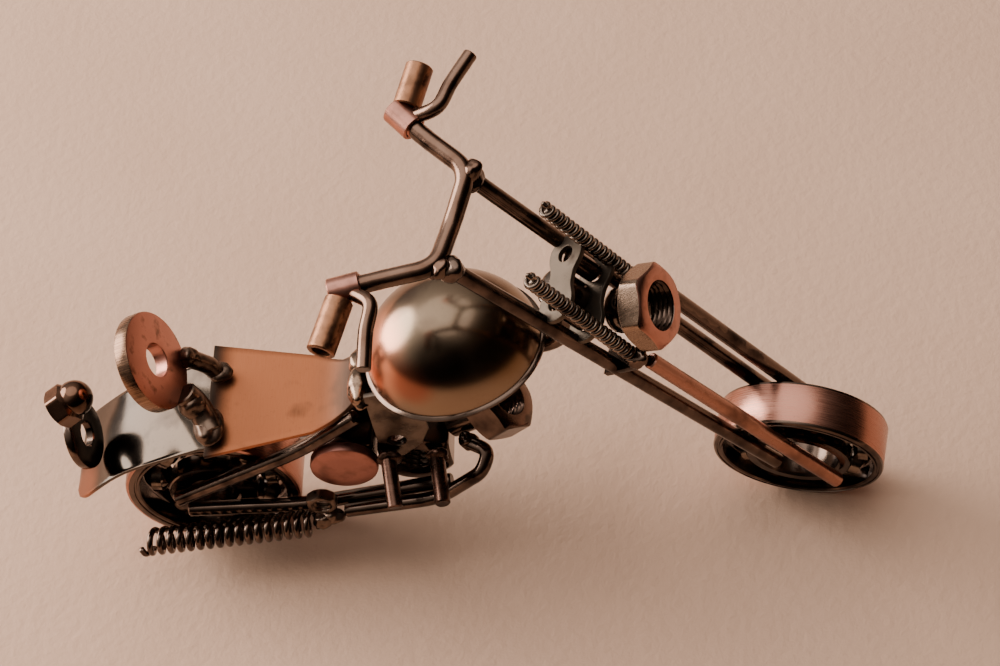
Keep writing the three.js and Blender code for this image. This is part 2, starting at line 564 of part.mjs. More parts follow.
// Front cylinder: a stud leaning forward from the crankcase with a nut on its end.
const frontAim = vec(Math.cos(FRONT_NUT.lift), 0, Math.sin(FRONT_NUT.lift));
const frontNutAt = vec(FRONT_NUT.x, 0, axleZ + FRONT_NUT.up);
const frontNut = addMesh(bike, 'cylinder_front_nut', hexNut(FRONT_NUT.af, FRONT_NUT.t, FRONT_NUT.bore), 'copper');
frontNut.position.copy(frontNutAt);
frontNut.quaternion.setFromUnitVectors(up, frontAim);
const crankEnvelope = cylinder(CRANKCASE.af / Math.sqrt(3) + SEAM, 4 * CRANKCASE.half, 40)
  .rotateX(Math.PI / 2)
  .translate(crankCentre.x, 2 * CRANKCASE.half, crankCentre.z);
const frontStudEnd = frontNutAt.clone().addScaledVector(frontAim, -FRONT_NUT.t / 2 - SEAM);
const frontReach = frontStudEnd.distanceTo(crankCentre);
const frontStudRoot = frontStudEnd.clone().addScaledVector(frontAim, -frontReach);
const frontStud = straightRod(frontStudRoot, frontStudEnd, CYLINDER_R, 20);
addMesh(bike, 'cylinder_front', cut(frontStud, [crankEnvelope]), 'nickel');

// Rear cylinder: a shorter stud and nut under the seat's nose.
const rearNutAt = vec(REAR_NUT.x, 0, seatZ + REAR_NUT.over);
const rearAim = rearNutAt.clone().sub(crankCentre).normalize();
const rearNut = addMesh(bike, 'cylinder_rear_nut', hexNut(REAR_NUT.af, REAR_NUT.t, REAR_NUT.bore), 'nickel');
rearNut.position.copy(rearNutAt);
rearNut.quaternion.setFromUnitVectors(up, rearAim);
const rearStudEnd = rearNutAt.clone().addScaledVector(rearAim, -REAR_NUT.t / 2 - SEAM);
const rearStud = straightRod(crankCentre, rearStudEnd, CYLINDER_R, 20);
addMesh(bike, 'cylinder_rear', cut(rearStud, [crankEnvelope]), 'nickel');

// Exhaust: a bent pipe from the front cylinder, then a coil spring as the silencer.
const exhaustPath = bentPath([
  vec(EXHAUST.rootX, -(CYLINDER_R + EXHAUST_R + SEAM), axleZ + EXHAUST.rootUp),
  vec(EXHAUST.elbowX, EXHAUST.elbowY, axleZ + EXHAUST.elbowUp),
  vec(EXHAUST.dropX, EXHAUST_Y, axleZ + EXHAUST.dropUp), vec(EXHAUST.footX, EXHAUST_Y, axleZ + EXHAUST.footUp),
  vec(EXHAUST.rearX, EXHAUST_Y, axleZ + EXHAUST.rearUp),
], EXHAUST.bend);
addMesh(bike, 'exhaust_pipe', sweptRod(exhaustPath, EXHAUST_R, 26), 'nickel');

class Helix extends THREE.Curve {
  constructor(radius, pitch, turns) {
    super();
    Object.assign(this, { radius, pitch, turns });
  }

  getPoint(t) {
    const angle = t * this.turns * 2 * Math.PI;
    return vec(this.radius * Math.cos(angle), this.radius * Math.sin(angle), t * this.turns * this.pitch);
  }
}

const mufflerY = EXHAUST_Y - MUFFLER.outset;
const mufflerStart = vec(MUFFLER.rear, mufflerY, axleZ + MUFFLER.rearUp);
const mufflerEnd = vec(MUFFLER.front, mufflerY, axleZ + MUFFLER.frontUp);
const mufflerRun = mufflerEnd.clone().sub(mufflerStart);
const mufflerTurns = Math.round(mufflerRun.length() / MUFFLER.pitch);
const mufflerCoil = new Helix(MUFFLER.r, mufflerRun.length() / mufflerTurns, mufflerTurns);
const mufflerWire = sweptRod(mufflerCoil, MUFFLER.wire, 8 * mufflerTurns, 5);
const muffler = addMesh(bike, 'exhaust_spring', mufflerWire, 'nickel');
muffler.position.copy(mufflerStart);
muffler.quaternion.setFromUnitVectors(up, mufflerRun.normalize());

const ringNut = addMesh(bike, 'exhaust_ring_nut', hexNut(RING_NUT.af, RING_NUT.t, RING_NUT.bore), 'bronze');
ringNut.position.set(RING_NUT.x, EXHAUST_Y - RING_NUT.outset, axleZ + RING_NUT.up);
ringNut.rotation.x = Math.PI / 2;
const weldBall = new THREE.SphereGeometry(1, 8, 6).scale(...EXHAUST_WELD.size);
const weldBead = addMesh(bike, 'exhaust_weld', weldBall, 'bronze');
weldBead.position.set(EXHAUST_WELD.x, EXHAUST_Y - EXHAUST_WELD.outset, axleZ + EXHAUST_WELD.up);

// ---------------------------------------------------------------- tank, seat and fender
// Pressed dome, open underneath, with a rolled lip around its rim.
function tankShell() {
  const steps = 6;
  const arc = (radius, first, last) => Array.from({ length: steps + 1 }, (_, i) => {
    const angle = first + ((last - first) * i) / steps;
    return [radius * Math.cos(angle), radius * Math.sin(angle)];
  });
  const outside = arc(1, 0, Math.PI / 2);
  const inside = arc(1 - TANK.wall / TANK.b, Math.PI / 2, 0);
  const lipR = 1 + TANK.lip / TANK.b;
  const lipH = TANK.lipHeight / TANK.c;
  const edge = Math.sqrt(1 - lipH * lipH);
  const profile = [
    ...inside.map(([r, h]) => [Math.abs(r) < 1e-9 ? 0 : r, h]),
    [lipR, 0], [lipR, lipH * 0.9], [edge, lipH],
    ...outside.slice(1).map(([r, h]) => [Math.abs(r) < 1e-9 ? 0 : r, h]),
  ];
  return turned(profile, 28).scale(TANK.a, TANK.b, TANK.c);
}

const tankX = TANK.front - TANK.a;
const tankZ = seatZ + TANK.over;
const tank = addMesh(bike, 'fuel_tank', tankShell(), 'bronze');
tank.position.set(tankX, 0, tankZ);
tank.rotation.y = -TANK_PITCH;
// The post stands between the backbone and the dome's crown.
const postFoot = seatZ + BACKBONE.midOver - 0.5 + ROD_R + SEAM;
const postTop = tankZ + TANK.c - TANK.wall - 3 * SEAM;
const post = addMesh(bike, 'tank_post', cylinder(TANK_POST_R, postTop - postFoot, 16), 'nickel');
post.position.set(tankX, 0, postFoot);

// Bent sheet seat: flat at the back, curling up into the tank.
function seatSheet() {
  const curl = (z) => new THREE.QuadraticBezierCurve(
    new THREE.Vector2(SEAT.mid, z), new THREE.Vector2(SEAT.mid + 6, z + 0.3),
    new THREE.Vector2(SEAT.front, z + SEAT.rise)).getPoints(6);
  const top = curl(seatZ);
  const bottom = curl(seatZ - SEAT.t).reverse();
  const side = new THREE.Shape([
    new THREE.Vector2(SEAT.rear, seatZ), ...top, ...bottom, new THREE.Vector2(SEAT.rear, seatZ - SEAT.t),
  ]);
  const plan = polygon([
    [SEAT.rear - 1, -SEAT.rearHalf], [SEAT.mid, -SEAT.midHalf], [SEAT.front + 1, -SEAT.frontHalf],
    [SEAT.front + 1, SEAT.frontHalf], [SEAT.mid, SEAT.midHalf], [SEAT.rear - 1, SEAT.rearHalf],
  ]);
  const block = plate(plan, 4 * SEAT.rise).translate(0, 0, seatZ - 2 * SEAT.rise);
  return overlap(sideExtrusion(side, SEAT.rearHalf + 1), block);
}
addMesh(bike, 'seat', seatSheet(), 'copper');

// Curved rear fender with rounded tail corners.
function fenderSheet() {
  const front = new THREE.Vector2(FENDER.frontX, seatZ + FENDER.frontOver);
  const tail = new THREE.Vector2(-REAR.outer - FENDER.tailPast, seatZ + FENDER.tailOver);
  const middle = front.clone().add(tail).multiplyScalar(0.5);
  const outward = new THREE.Vector2(tail.y - front.y, front.x - tail.x).normalize();
  const crown = middle.clone().addScaledVector(outward, 2 * FENDER.bow);
  const top = new THREE.QuadraticBezierCurve(front, crown, tail).getPoints(12);
  const bottom = top.map((p) => p.clone().addScaledVector(outward, -FENDER.t)).reverse();
  const side = new THREE.Shape([...top, ...bottom]);
  const plan = new THREE.Shape();
  const r = FENDER.corner;
  const tailX = tail.x - 1;
  plan.moveTo(FENDER.frontX + r, -FENDER.half);
  plan.lineTo(FENDER.frontX + r, FENDER.half);
  plan.lineTo(tail.x + r, FENDER.half);
  plan.quadraticCurveTo(tailX, FENDER.half, tailX, FENDER.half - r);
  plan.lineTo(tailX, -FENDER.half + r);
  plan.quadraticCurveTo(tailX, -FENDER.half, tail.x + r, -FENDER.half);
  const blockFoot = tail.y - 4 * FENDER.bow;
  const block = plate(plan, front.y + 4 * FENDER.bow - blockFoot, 6).translate(0, 0, blockFoot);
  return overlap(sideExtrusion(side, FENDER.half + 1), block);
}
addMesh(bike, 'rear_fender', fenderSheet(), 'nickel');

// ---------------------------------------------------------------- backrest and tail
const backrest = addMesh(bike, 'backrest_washer', ring(BACKREST.r, BACKREST.hole, BACKREST.t, 0.4), 'copper');
backrest.position.set(BACKREST.x, 0, seatZ + BACKREST.over);
backrest.rotation.y = Math.PI / 2 - BACKREST.lean;

const washerEnvelope = ring(BACKREST.r + SEAM, 0.5, BACKREST.t + 2 * SEAM, 0.1)
  .rotateY(backrest.rotation.y)
  .translate(backrest.position.x, 0, backrest.position.z);
for (const name of ['right', 'left']) {
  const { y, r, over } = BACKREST_POST[name];
  const root = vec(BACKREST_POST.rootX, y, seatZ + 2 * SEAM + r / 2);
  const tip = vec(BACKREST_POST.tipX, y, seatZ + over);
  addMesh(bike, `backrest_post_${name}`, cut(straightRod(root, tip, r, 12), [washerEnvelope]), 'bronze');
}

const tailWasher = addMesh(bike, 'taillight_washer', ring(TAIL_WASHER.r, TAIL_WASHER.hole, TAIL_WASHER.t), 'nickel');
tailWasher.position.set(-REAR.outer - TAIL_WASHER.pastTyre, TAIL_WASHER.y, seatZ + TAIL_WASHER.over);
tailWasher.rotation.y = Math.PI / 2 - TAIL_WASHER.lean;

// Acorn nut about Z: open hexagon at z = 0 and a domed end above it.
function acornNut() {
  const hex = hexNut(ACORN.af, ACORN.hex, ACORN.bore).translate(0, 0, ACORN.hex / 2);
  const dome = new THREE.SphereGeometry(ACORN.dome, 14, 10).translate(0, 0, ACORN.hex + ACORN.domeUp);
  const below = cylinder(2 * ACORN.dome, ACORN.dome + 2, 8).translate(0, 0, ACORN.hex * 0.7 - ACORN.dome - 2);
  const bore = cylinder(ACORN.bore, ACORN.depth + 1, 16).translate(0, 0, -1);
  return cut(join([hex, cut(dome, [below])]), [bore]);
}
const acorn = addMesh(bike, 'taillight_nut', acornNut(), 'bronze');
acorn.quaternion.setFromUnitVectors(up, ACORN_AIM);
acorn.position.set(-REAR.outer - ACORN.pastTyre, ACORN.y, seatZ + ACORN.over).addScaledVector(ACORN_AIM, -ACORN.hex);

// ---------------------------------------------------------------- stand on the origin
const bounds = new THREE.Box3().setFromObject(bike, true);
const middle = bounds.getCenter(new THREE.Vector3());
bike.position.set(-middle.x, -middle.y, -bounds.min.z);

export default bike;
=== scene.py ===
"""Looks of a small chopper motorcycle welded from bearings, bent rod, nuts, washers and springs.

Every piece is drawn in millimetres in the axes of its own sub-assembly, then placed in metres in
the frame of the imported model. The joints in that model say where the wheels and the fork are.
"""

import json
import logging
import math
from dataclasses import dataclass, field, replace
from enum import Enum
from typing import Callable, Optional, Sequence

import bpy
from mathutils import Matrix, Vector, noise


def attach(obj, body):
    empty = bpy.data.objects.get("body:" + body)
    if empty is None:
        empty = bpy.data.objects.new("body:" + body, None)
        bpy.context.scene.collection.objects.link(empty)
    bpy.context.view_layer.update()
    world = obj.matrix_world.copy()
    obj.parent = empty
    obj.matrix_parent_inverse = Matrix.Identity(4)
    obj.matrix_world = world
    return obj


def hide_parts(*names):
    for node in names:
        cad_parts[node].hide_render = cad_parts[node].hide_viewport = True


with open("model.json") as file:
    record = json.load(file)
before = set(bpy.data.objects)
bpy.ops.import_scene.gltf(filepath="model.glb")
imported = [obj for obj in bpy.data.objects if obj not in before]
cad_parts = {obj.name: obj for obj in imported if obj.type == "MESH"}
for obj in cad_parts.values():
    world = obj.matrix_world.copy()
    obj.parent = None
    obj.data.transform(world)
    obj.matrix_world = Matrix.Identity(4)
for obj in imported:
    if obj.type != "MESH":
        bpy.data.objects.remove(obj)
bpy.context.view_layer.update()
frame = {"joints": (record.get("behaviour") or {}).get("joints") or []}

logging.basicConfig(level=logging.INFO, format="%(message)s")
log = logging.getLogger("chopper")

MM = 0.001
UP = Vector((0, 0, 1))
SEED = 7.3
SOFT_CORNER = 0.975
CHAMFER_SLOPE = 0.58
HEAD_TUBE_ENDS = (62.9, 67.9)

Point = Sequence[float]
Pair = tuple[float, float]
Colour = tuple[float, float, float, float]
Stop = tuple[float, Colour]

BLACK: Colour = (0, 0, 0, 1)
WHITE: Colour = (1, 1, 1, 1)


# ------------------------------------------------------------------ finishes
def linear(hex_colour: str) -> Colour:
    """Turns an sRGB hex colour into linear RGBA.

    Args:
        hex_colour: six hexadecimal digits after a hash sign.

    Returns:
        Red, green, blue and an alpha of one.
    """
    values = [int(hex_colour[i : i + 2], 16) / 255 for i in (1, 3, 5)]
    lin = [v / 12.92 if v <= 0.04045 else ((v + 0.055) / 1.055) ** 2.4 for v in values]
    return (*lin, 1.0)


class Slot(Enum):
    """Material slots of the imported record."""

    COPPER = "copper"
    NICKEL = "nickel"
    BRONZE = "bronze"
    STEEL = "steel"


@dataclass(frozen=True)
class Plate:
    """A plated metal surface; its upward faces can carry a painted top light.

    Attributes:
        name: what the finish is.
        slot: slot of the record that it belongs to; not used.
        light: colour of fresh plate, shown by the brush lines and painted on upward faces as top light.
        body: the plate's main colour.
        dark: colour of the tarnish left in low spots.
        rough: lowest and highest roughness.
        tarnish: share of the surface that is dark, 0 to 1.
        patch_mm: size of the tarnish patches.
        brush_mm: spacing of the brush lines, 0 where there are none.
        brush_turn: rotation of the brush lines' frame; lines run along its X.
        bump: strength of the brush lines and pits.
        painted_top_light: how much upward faces show the light colour, a painted top light broken up by the
            patches.
        brush_ratio: how fast the brush lines vary along each axis of their frame.
        stains_and_reflections: coloured areas, each a middle and half sizes in mm, a colour and a strength;
            on the tank they are painted reflections.
    """

    name: str
    slot: Slot
    light: str
    body: str
    dark: str
    rough: Pair
    tarnish: float = 0.3
    patch_mm: float = 6.0
    brush_mm: float = 0.0
    brush_turn: tuple[float, float, float] = (0.0, 0.0, 0.0)
    bump: float = 0.1
    painted_top_light: float = 0.0
    brush_ratio: tuple[float, float, float] = (0.03, 1.0, 1.0)
    stains_and_reflections: tuple[tuple[Point, Point, str, float], ...] = ()


def node(
        tree: bpy.types.NodeTree, kind: str, links: Optional[dict] = None, stops: Sequence[Stop] = (),
        **settings: object) -> bpy.types.Node:
    """Adds a node to a tree.

    Args:
        tree: the tree that gets the node.
        kind: the node's type identifier.
        links: input name or index to an output socket or a plain value.
        stops: positions and linear colours of a colour ramp.
        settings: attributes of the node.

    Returns:
        The new node.
    """
    made = tree.nodes.new(kind)
    for key, value in settings.items():
        setattr(made, key, value)
    for key, value in (links or {}).items():
        if isinstance(value, bpy.types.NodeSocket):
            tree.links.new(value, made.inputs[key])
        else:
            made.inputs[key].default_value = value
    if stops:
        elements = made.color_ramp.elements
        while len(elements) < len(stops):
            elements.new(0.5)
        for element, (position, colour) in zip(elements, stops):
            element.position = position
            element.color = colour
    return made


class Finishes:
    """Makes each material once and hands it out.

    Attributes:
        speck_mm: size of the fine specks.
        speck_share: how dark the specks are, 0 to 1.
        streak_share: how much of the light colour the brush lines show, 0 to 1.
        relief_mm: height of the brush lines and pits.
        area_core: share of a coloured area that has its full colour.
    """

    speck_mm = 0.55
    speck_share = 0.3
    streak_share = 0.35
    relief_mm = 0.15
    area_core = 0.35

    def __init__(self) -> None:
        """Starts with no materials."""
        self.made: dict[str, bpy.types.Material] = {}

    def mix_stain_or_reflection(
            self, tree: bpy.types.NodeTree, here: bpy.types.NodeSocket, colour: bpy.types.NodeSocket,
            middle: Point, half: Point, hex_colour: str, strength: float) -> bpy.types.NodeSocket:
        """Mixes a soft-edged coloured area into a colour.

        Args:
            tree: the material's tree.
            here: object coordinates.
            colour: the colour below.
            middle: middle of the area in mm.
            half: half sizes of the area in mm.
            hex_colour: the area's colour.
            strength: how much of it shows, 0 to 1.

        Returns:
            The mixed colour.
        """
        local = node(tree, "ShaderNodeMapping", {
            "Vector": here, "Location": tuple(-m / h for m, h in zip(middle, half)),
            "Scale": tuple(1 / (h * MM) for h in half)})
        away = node(tree, "ShaderNodeVectorMath", {0: local.outputs[0]}, operation="LENGTH")
        inside = node(tree, "ShaderNodeMapRange", {
            0: away.outputs["Value"], 1: self.area_core, 2: 1.0, 3: strength, 4: 0.0},
            interpolation_type="SMOOTHSTEP")
        mixed = node(tree, "ShaderNodeMix", {
            0: inside.outputs[0], 6: colour, 7: linear(hex_colour)}, data_type="RGBA")
        return mixed.outputs[2]

    def plate(self, plate: Plate) -> bpy.types.Material:
        """Builds or finds the material of a plated metal.

        Args:
            plate: the finish.

        Returns:
            The material.
        """
        if plate.name in self.made:
            return self.made[plate.name]
        material = bpy.data.materials.new(plate.name)
        material.use_nodes = True
        tree = material.node_tree
        shader = tree.nodes["Principled BSDF"]
        coords = node(tree, "ShaderNodeTexCoord")
        here = coords.outputs["Object"]
        patch = node(tree, "ShaderNodeTexNoise", {
            "Vector": here, "Scale": 1 / (plate.patch_mm * MM), "Detail": 3.0, "Roughness": 0.5})
        specks = node(tree, "ShaderNodeTexNoise", {
            "Vector": here, "Scale": 1 / (self.speck_mm * MM), "Detail": 3.0, "Roughness": 0.7})
        low = max(0.0, plate.tarnish - 0.22)
        mask = node(tree, "ShaderNodeValToRGB", {0: patch.outputs["Fac"]}, [
            (0.28 + 0.3 * low, WHITE), (0.40 + 0.45 * plate.tarnish, BLACK)])
        tone = node(tree, "ShaderNodeMix", {
            0: mask.outputs["Color"], 6: linear(plate.body), 7: linear(plate.dark)}, data_type="RGBA")
        speck_mask = node(tree, "ShaderNodeValToRGB", {0: specks.outputs["Fac"]}, [
            (0.30, WHITE), (0.40, BLACK)])
        speck_part = node(
            tree, "ShaderNodeMath", {0: speck_mask.outputs["Color"], 1: self.speck_share},
            operation="MULTIPLY")
        speckled = node(tree, "ShaderNodeMix", {
            0: speck_part.outputs[0], 6: tone.outputs[2], 7: linear(plate.dark)}, data_type="RGBA")
        colour = speckled.outputs[2]
        # Upward faces, broken up by the patch noise, get the light colour: a painted top light.
        if plate.painted_top_light > 0:
            split = node(tree, "ShaderNodeSeparateXYZ", {0: coords.outputs["Normal"]})
            top_and_patches = node(
                tree, "ShaderNodeMath", {0: patch.outputs["Fac"], 1: split.outputs[2]}, operation="ADD")
            face = node(tree, "ShaderNodeValToRGB", {0: top_and_patches.outputs[0]}, [
                (0.95, BLACK), (1.35, WHITE)])
            part = node(
                tree, "ShaderNodeMath", {0: face.outputs["Color"], 1: plate.painted_top_light}, operation="MULTIPLY")
            top_lit = node(tree, "ShaderNodeMix", {
                0: part.outputs[0], 6: colour, 7: linear(plate.light)}, data_type="RGBA")
            colour = top_lit.outputs[2]
        height = specks.outputs["Fac"]
        rough_source = patch.outputs["Fac"]
        if plate.brush_mm > 0:
            turn = node(tree, "ShaderNodeMapping", {"Vector": here, "Rotation": plate.brush_turn})
            stretch = node(tree, "ShaderNodeMapping", {
                "Vector": turn.outputs[0], "Scale": plate.brush_ratio})
            lines = node(tree, "ShaderNodeTexNoise", {
                "Vector": stretch.outputs[0], "Scale": 1 / (plate.brush_mm * MM), "Detail": 4.0,
                "Roughness": 0.65})
            streak = node(tree, "ShaderNodeValToRGB", {0: lines.outputs["Fac"]}, [
                (0.35, BLACK), (0.7, WHITE)])
            part = node(
                tree, "ShaderNodeMath", {0: streak.outputs["Color"], 1: self.streak_share},
                operation="MULTIPLY")
            brushed = node(tree, "ShaderNodeMix", {
                0: part.outputs[0], 6: colour, 7: linear(plate.light)}, data_type="RGBA")
            colour = brushed.outputs[2]
            height = lines.outputs["Fac"]
            rough_source = lines.outputs["Fac"]
        for middle, half, hex_colour, strength in plate.stains_and_reflections:
            colour = self.mix_stain_or_reflection(tree, here, colour, middle, half, hex_colour, strength)
        rough = node(tree, "ShaderNodeMapRange", {
            0: rough_source, 1: 0.3, 2: 0.75, 3: plate.rough[0], 4: plate.rough[1]})
        bump = node(tree, "ShaderNodeBump", {
            "Height": height, "Strength": plate.bump, "Distance": self.relief_mm * MM})
        shader.inputs["Metallic"].default_value = 1.0
        tree.links.new(colour, shader.inputs["Base Color"])
        tree.links.new(rough.outputs[0], shader.inputs["Roughness"])
        tree.links.new(bump.outputs[0], shader.inputs["Normal"])
        self.made[plate.name] = material
        return material


# Copper plate rubbed with a fine abrasive: warm satin faces with fine lines along the rub.
COPPER_BRUSHED = Plate(
    "copper_plate_brushed", Slot.COPPER, "#B97C58", "#9C5F40", "#553526", (0.38, 0.52), tarnish=0.1,
    patch_mm=9.0, brush_mm=0.12, brush_turn=(0.0, 0.0, 1.5708), bump=0.08, stains_and_reflections=(
        # Two dark areas: a patina band along the seat's rear edge, and a darker nose.
        ((-51.0, -1.5, 42.6), (7.0, 60.0, 30.0), "#2B211B", 1.0),
        ((-17.0, -1.5, 45.0), (14.0, 40.0, 20.0), "#3C322B", 0.95)))
COPPER_TREAD = Plate(
    "copper_plate_tread", Slot.COPPER, "#CF9F8E", "#AF7967", "#745044", (0.22, 0.38), tarnish=0.15,
    patch_mm=9.0, brush_mm=0.14, bump=0.07, brush_ratio=(0.03, 1.0, 0.03))
COPPER_SATIN = Plate(
    "copper_plate_satin", Slot.COPPER, "#D4A293", "#B77F6E", "#6A483D", (0.26, 0.4), tarnish=0.2,
    patch_mm=5.0, bump=0.06, painted_top_light=0.2)
# Near-black nickel plate, polished: a dark mirror with brown tarnish.
NICKEL_DARK = Plate(
    "black_nickel_polished", Slot.NICKEL, "#9C8474", "#5A4C44", "#2A211D", (0.12, 0.26), tarnish=0.35,
    patch_mm=5.0, bump=0.05, painted_top_light=0.25)
NICKEL_COIL = Plate(
    "black_nickel_wire", Slot.NICKEL, "#B5A294", "#85766A", "#3A302A", (0.16, 0.28), tarnish=0.3,
    patch_mm=3.0, bump=0.04)
NICKEL_BRIGHT = Plate(
    "nickel_plate_bright", Slot.NICKEL, "#C8BDB0", "#7F736A", "#3A302A", (0.08, 0.2), tarnish=0.4,
    patch_mm=7.0, bump=0.04)
# Brown antique plate: bronze mirror whose upward faces go copper, a painted top light.
BRONZE_ROD = Plate(
    "antique_bronze_rod", Slot.BRONZE, "#A57C66", "#63544A", "#2F2620", (0.16, 0.3), tarnish=0.3,
    patch_mm=5.0, bump=0.05, painted_top_light=0.3)
WELD = Plate(
    "weld_bead", Slot.BRONZE, "#A58A78", "#66564B", "#2E2621", (0.24, 0.4), tarnish=0.25, patch_mm=3.0,
    bump=0.06, painted_top_light=0.2)
# Bare pressed steel, satin from rolling.
STEEL_SATIN = Plate(
    "rolled_steel_satin", Slot.STEEL, "#867A6C", "#62584E", "#3A312B", (0.46, 0.6), tarnish=0.06,
    patch_mm=5.0, bump=0.05)
STEEL_BROWN = Plate(
    "rolled_steel_browned", Slot.STEEL, "#A39587", "#6E6258", "#352C27", (0.24, 0.36), tarnish=0.3,
    patch_mm=5.0, bump=0.05)
# Copper plate on rods and nuts, worn to the steel where it has been handled; their lighter upward faces are a
# painted top light.
COPPER_ROD = Plate(
    "copper_plate_rod", Slot.COPPER, "#C99A89", "#A07362", "#573E34", (0.2, 0.34), tarnish=0.2, patch_mm=8.0,
    bump=0.05, painted_top_light=0.35)
LAMP_SIDE = Plate(
    "copper_plate_worn_flats", Slot.COPPER, "#C9AA92", "#857060", "#40342C", (0.2, 0.34), tarnish=0.2,
    patch_mm=6.0, brush_mm=0.15, brush_turn=(0.0, 0.7, 0.0), bump=0.06)
ENGINE_NUT = Plate(
    "copper_plate_worn_off", Slot.COPPER, "#B98369", "#62534A", "#2E2520", (0.14, 0.26), tarnish=0.3,
    patch_mm=6.0, bump=0.05, painted_top_light=0.1)
GRIP_PLATE = Plate(
    "antique_bronze_rough", Slot.BRONZE, "#C8926F", "#8A6048", "#40291F", (0.3, 0.45), tarnish=0.35,
    patch_mm=2.0, bump=0.25, painted_top_light=0.3)
# Copper plate on discs and pegs, tumbled dull.
COPPER_DISC = Plate(
    "copper_plate_disc", Slot.COPPER, "#BE9285", "#A37064", "#6B4A41", (0.34, 0.46), tarnish=0.25,
    patch_mm=5.0, bump=0.06)
PEG_PLATE = Plate(
    "copper_plate_peg", Slot.COPPER, "#A87B69", "#4C3B33", "#261D19", (0.22, 0.34), tarnish=0.45,
    patch_mm=3.0, bump=0.1, painted_top_light=0.2)
# Larger sheets and turned parts; the tank carries painted reflections, and the fender a stain where the plate
# ran thin.
BRONZE_TANK = Plate(
    "antique_bronze_tank", Slot.BRONZE, "#C98464", "#84725F", "#5A473C", (0.18, 0.28), tarnish=0.15,
    patch_mm=16.0, bump=0.015, stains_and_reflections=(
        # Painted reflections on the mirror tank: a warm lamp glow at the left, red-brown beside it on the
        # near side, a black patch in the middle and a golden-brown patch at the right.
        ((-13.5, -6.0, 60.0), (9.5, 12.0, 11.5), "#CF8F72", 0.95),
        ((-6.8, -13.3, 60.6), (6.0, 5.0, 6.0), "#8A3F2A", 0.6),
        ((-1.1, -11.7, 64.9), (7.5, 6.5, 7.0), "#1E1713", 0.8),
        ((10.0, -8.7, 63.5), (8.0, 8.0, 8.0), "#6E5234", 0.7)))
BRONZE_DOME = Plate(
    "antique_bronze_dome", Slot.BRONZE, "#C08E73", "#5C483C", "#2C211B", (0.12, 0.22), tarnish=0.3,
    patch_mm=6.0, bump=0.03, painted_top_light=0.2)
COPPER_WASHER = Plate(
    "copper_plate_washer", Slot.COPPER, "#D3A194", "#BC8272", "#7A5549", (0.32, 0.44), tarnish=0.04,
    patch_mm=3.0, bump=0.1)
WASHER_RIM = Plate(
    "copper_plate_cut_rim", Slot.COPPER, "#C9A07F", "#6B5345", "#33261F", (0.2, 0.34), tarnish=0.3,
    patch_mm=3.0, brush_mm=0.3, brush_turn=(0.0, 0.38, 0.0), bump=0.2)
FENDER_PLATE = Plate(
    "nickel_plate_mirror", Slot.NICKEL, "#8F8274", "#4A4139", "#2A231F", (0.08, 0.18), tarnish=0.15,
    patch_mm=10.0, bump=0.02, stains_and_reflections=(((-78.0, -9.0, 26.0), (7.0, 7.0, 7.0), "#B4775C", 0.7),))
WELD_BRIGHT = Plate(
    "weld_bead_bright", Slot.BRONZE, "#CDB9A6", "#8F7765", "#40322A", (0.14, 0.28), tarnish=0.35,
    patch_mm=2.0, bump=0.12)


# ------------------------------------------------------------------ placing
class Datum:
    """Where the sub-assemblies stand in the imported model's frame."""

    def __init__(self, joints: list[dict]) -> None:
        """Reads the joints.

        Args:
            joints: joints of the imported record.
        """
        by_name = {joint["name"]: joint for joint in joints}
        rear = Vector(by_name["rear_wheel_spin"]["pos_m"])
        steering = by_name["steering"]
        scale = Matrix.Diagonal((MM, MM, MM, 1))
        self.frame = Matrix.Translation((rear.x, rear.y, 0)) @ scale
        self.rear_axle = Matrix.Translation(rear) @ scale
        along = Vector(steering["axis"]).normalized()
        left = Vector(by_name["front_wheel_spin"]["axis"]).normalized()
        self.fork = self.axes(left.cross(along), left, along, Vector(steering["pos_m"])) @ scale
        self.front_axle = self.axes(
            left.cross(along), left, along, Vector(by_name["front_wheel_spin"]["pos_m"])) @ scale
        straight = Vector((0, 1, 0))
        self.head = self.axes(straight.cross(along), straight, along, Vector(steering["pos_m"])) @ scale

    @staticmethod
    def axes(x: Vector, y: Vector, z: Vector, at: Vector) -> Matrix:
        """Builds a placing matrix.

        Args:
            x: first axis.
            y: second axis.
            z: third axis.
            at: origin.

        Returns:
            The matrix.
        """
        turn = Matrix((x, y, z)).transposed().to_4x4()
        return Matrix.Translation(at) @ turn


# ------------------------------------------------------------------ shapes
@dataclass
class Shape:
    """Points and faces of a closed surface, in millimetres."""

    points: list[Vector] = field(default_factory=list)
    faces: list[tuple[int, ...]] = field(default_factory=list)
    marks: list[int] = field(default_factory=list)

    def add(self, other: "Shape", mark: int = 0) -> "Shape":
        """Joins another shape to this one.

        Args:
            other: shape to add.
            mark: material number added to the other's marks.

        Returns:
            This shape.
        """
        start = len(self.points)
        self.marks += [0] * (len(self.faces) - len(self.marks))
        self.points += other.points
        self.faces += [tuple(i + start for i in f) for f in other.faces]
        own = other.marks or [0] * len(other.faces)
        self.marks += [m + mark for m in own]
        return self

    def moved(self, matrix: Matrix) -> "Shape":
        """Gives a placed copy.

        Args:
            matrix: the placing.

        Returns:
            The copy.
        """
        return Shape([matrix @ p for p in self.points], list(self.faces), list(self.marks))

    @classmethod
    def from_mesh(cls, mesh: bpy.types.Mesh) -> "Shape":
        """Copies a mesh's points and faces."""
        return cls([v.co.copy() for v in mesh.vertices], [tuple(p.vertices) for p in mesh.polygons])

    def radii(self, face: tuple[int, ...]) -> list[float]:
        """Distances of a face's points from Z."""
        return [math.hypot(self.points[i].x, self.points[i].y) for i in face]


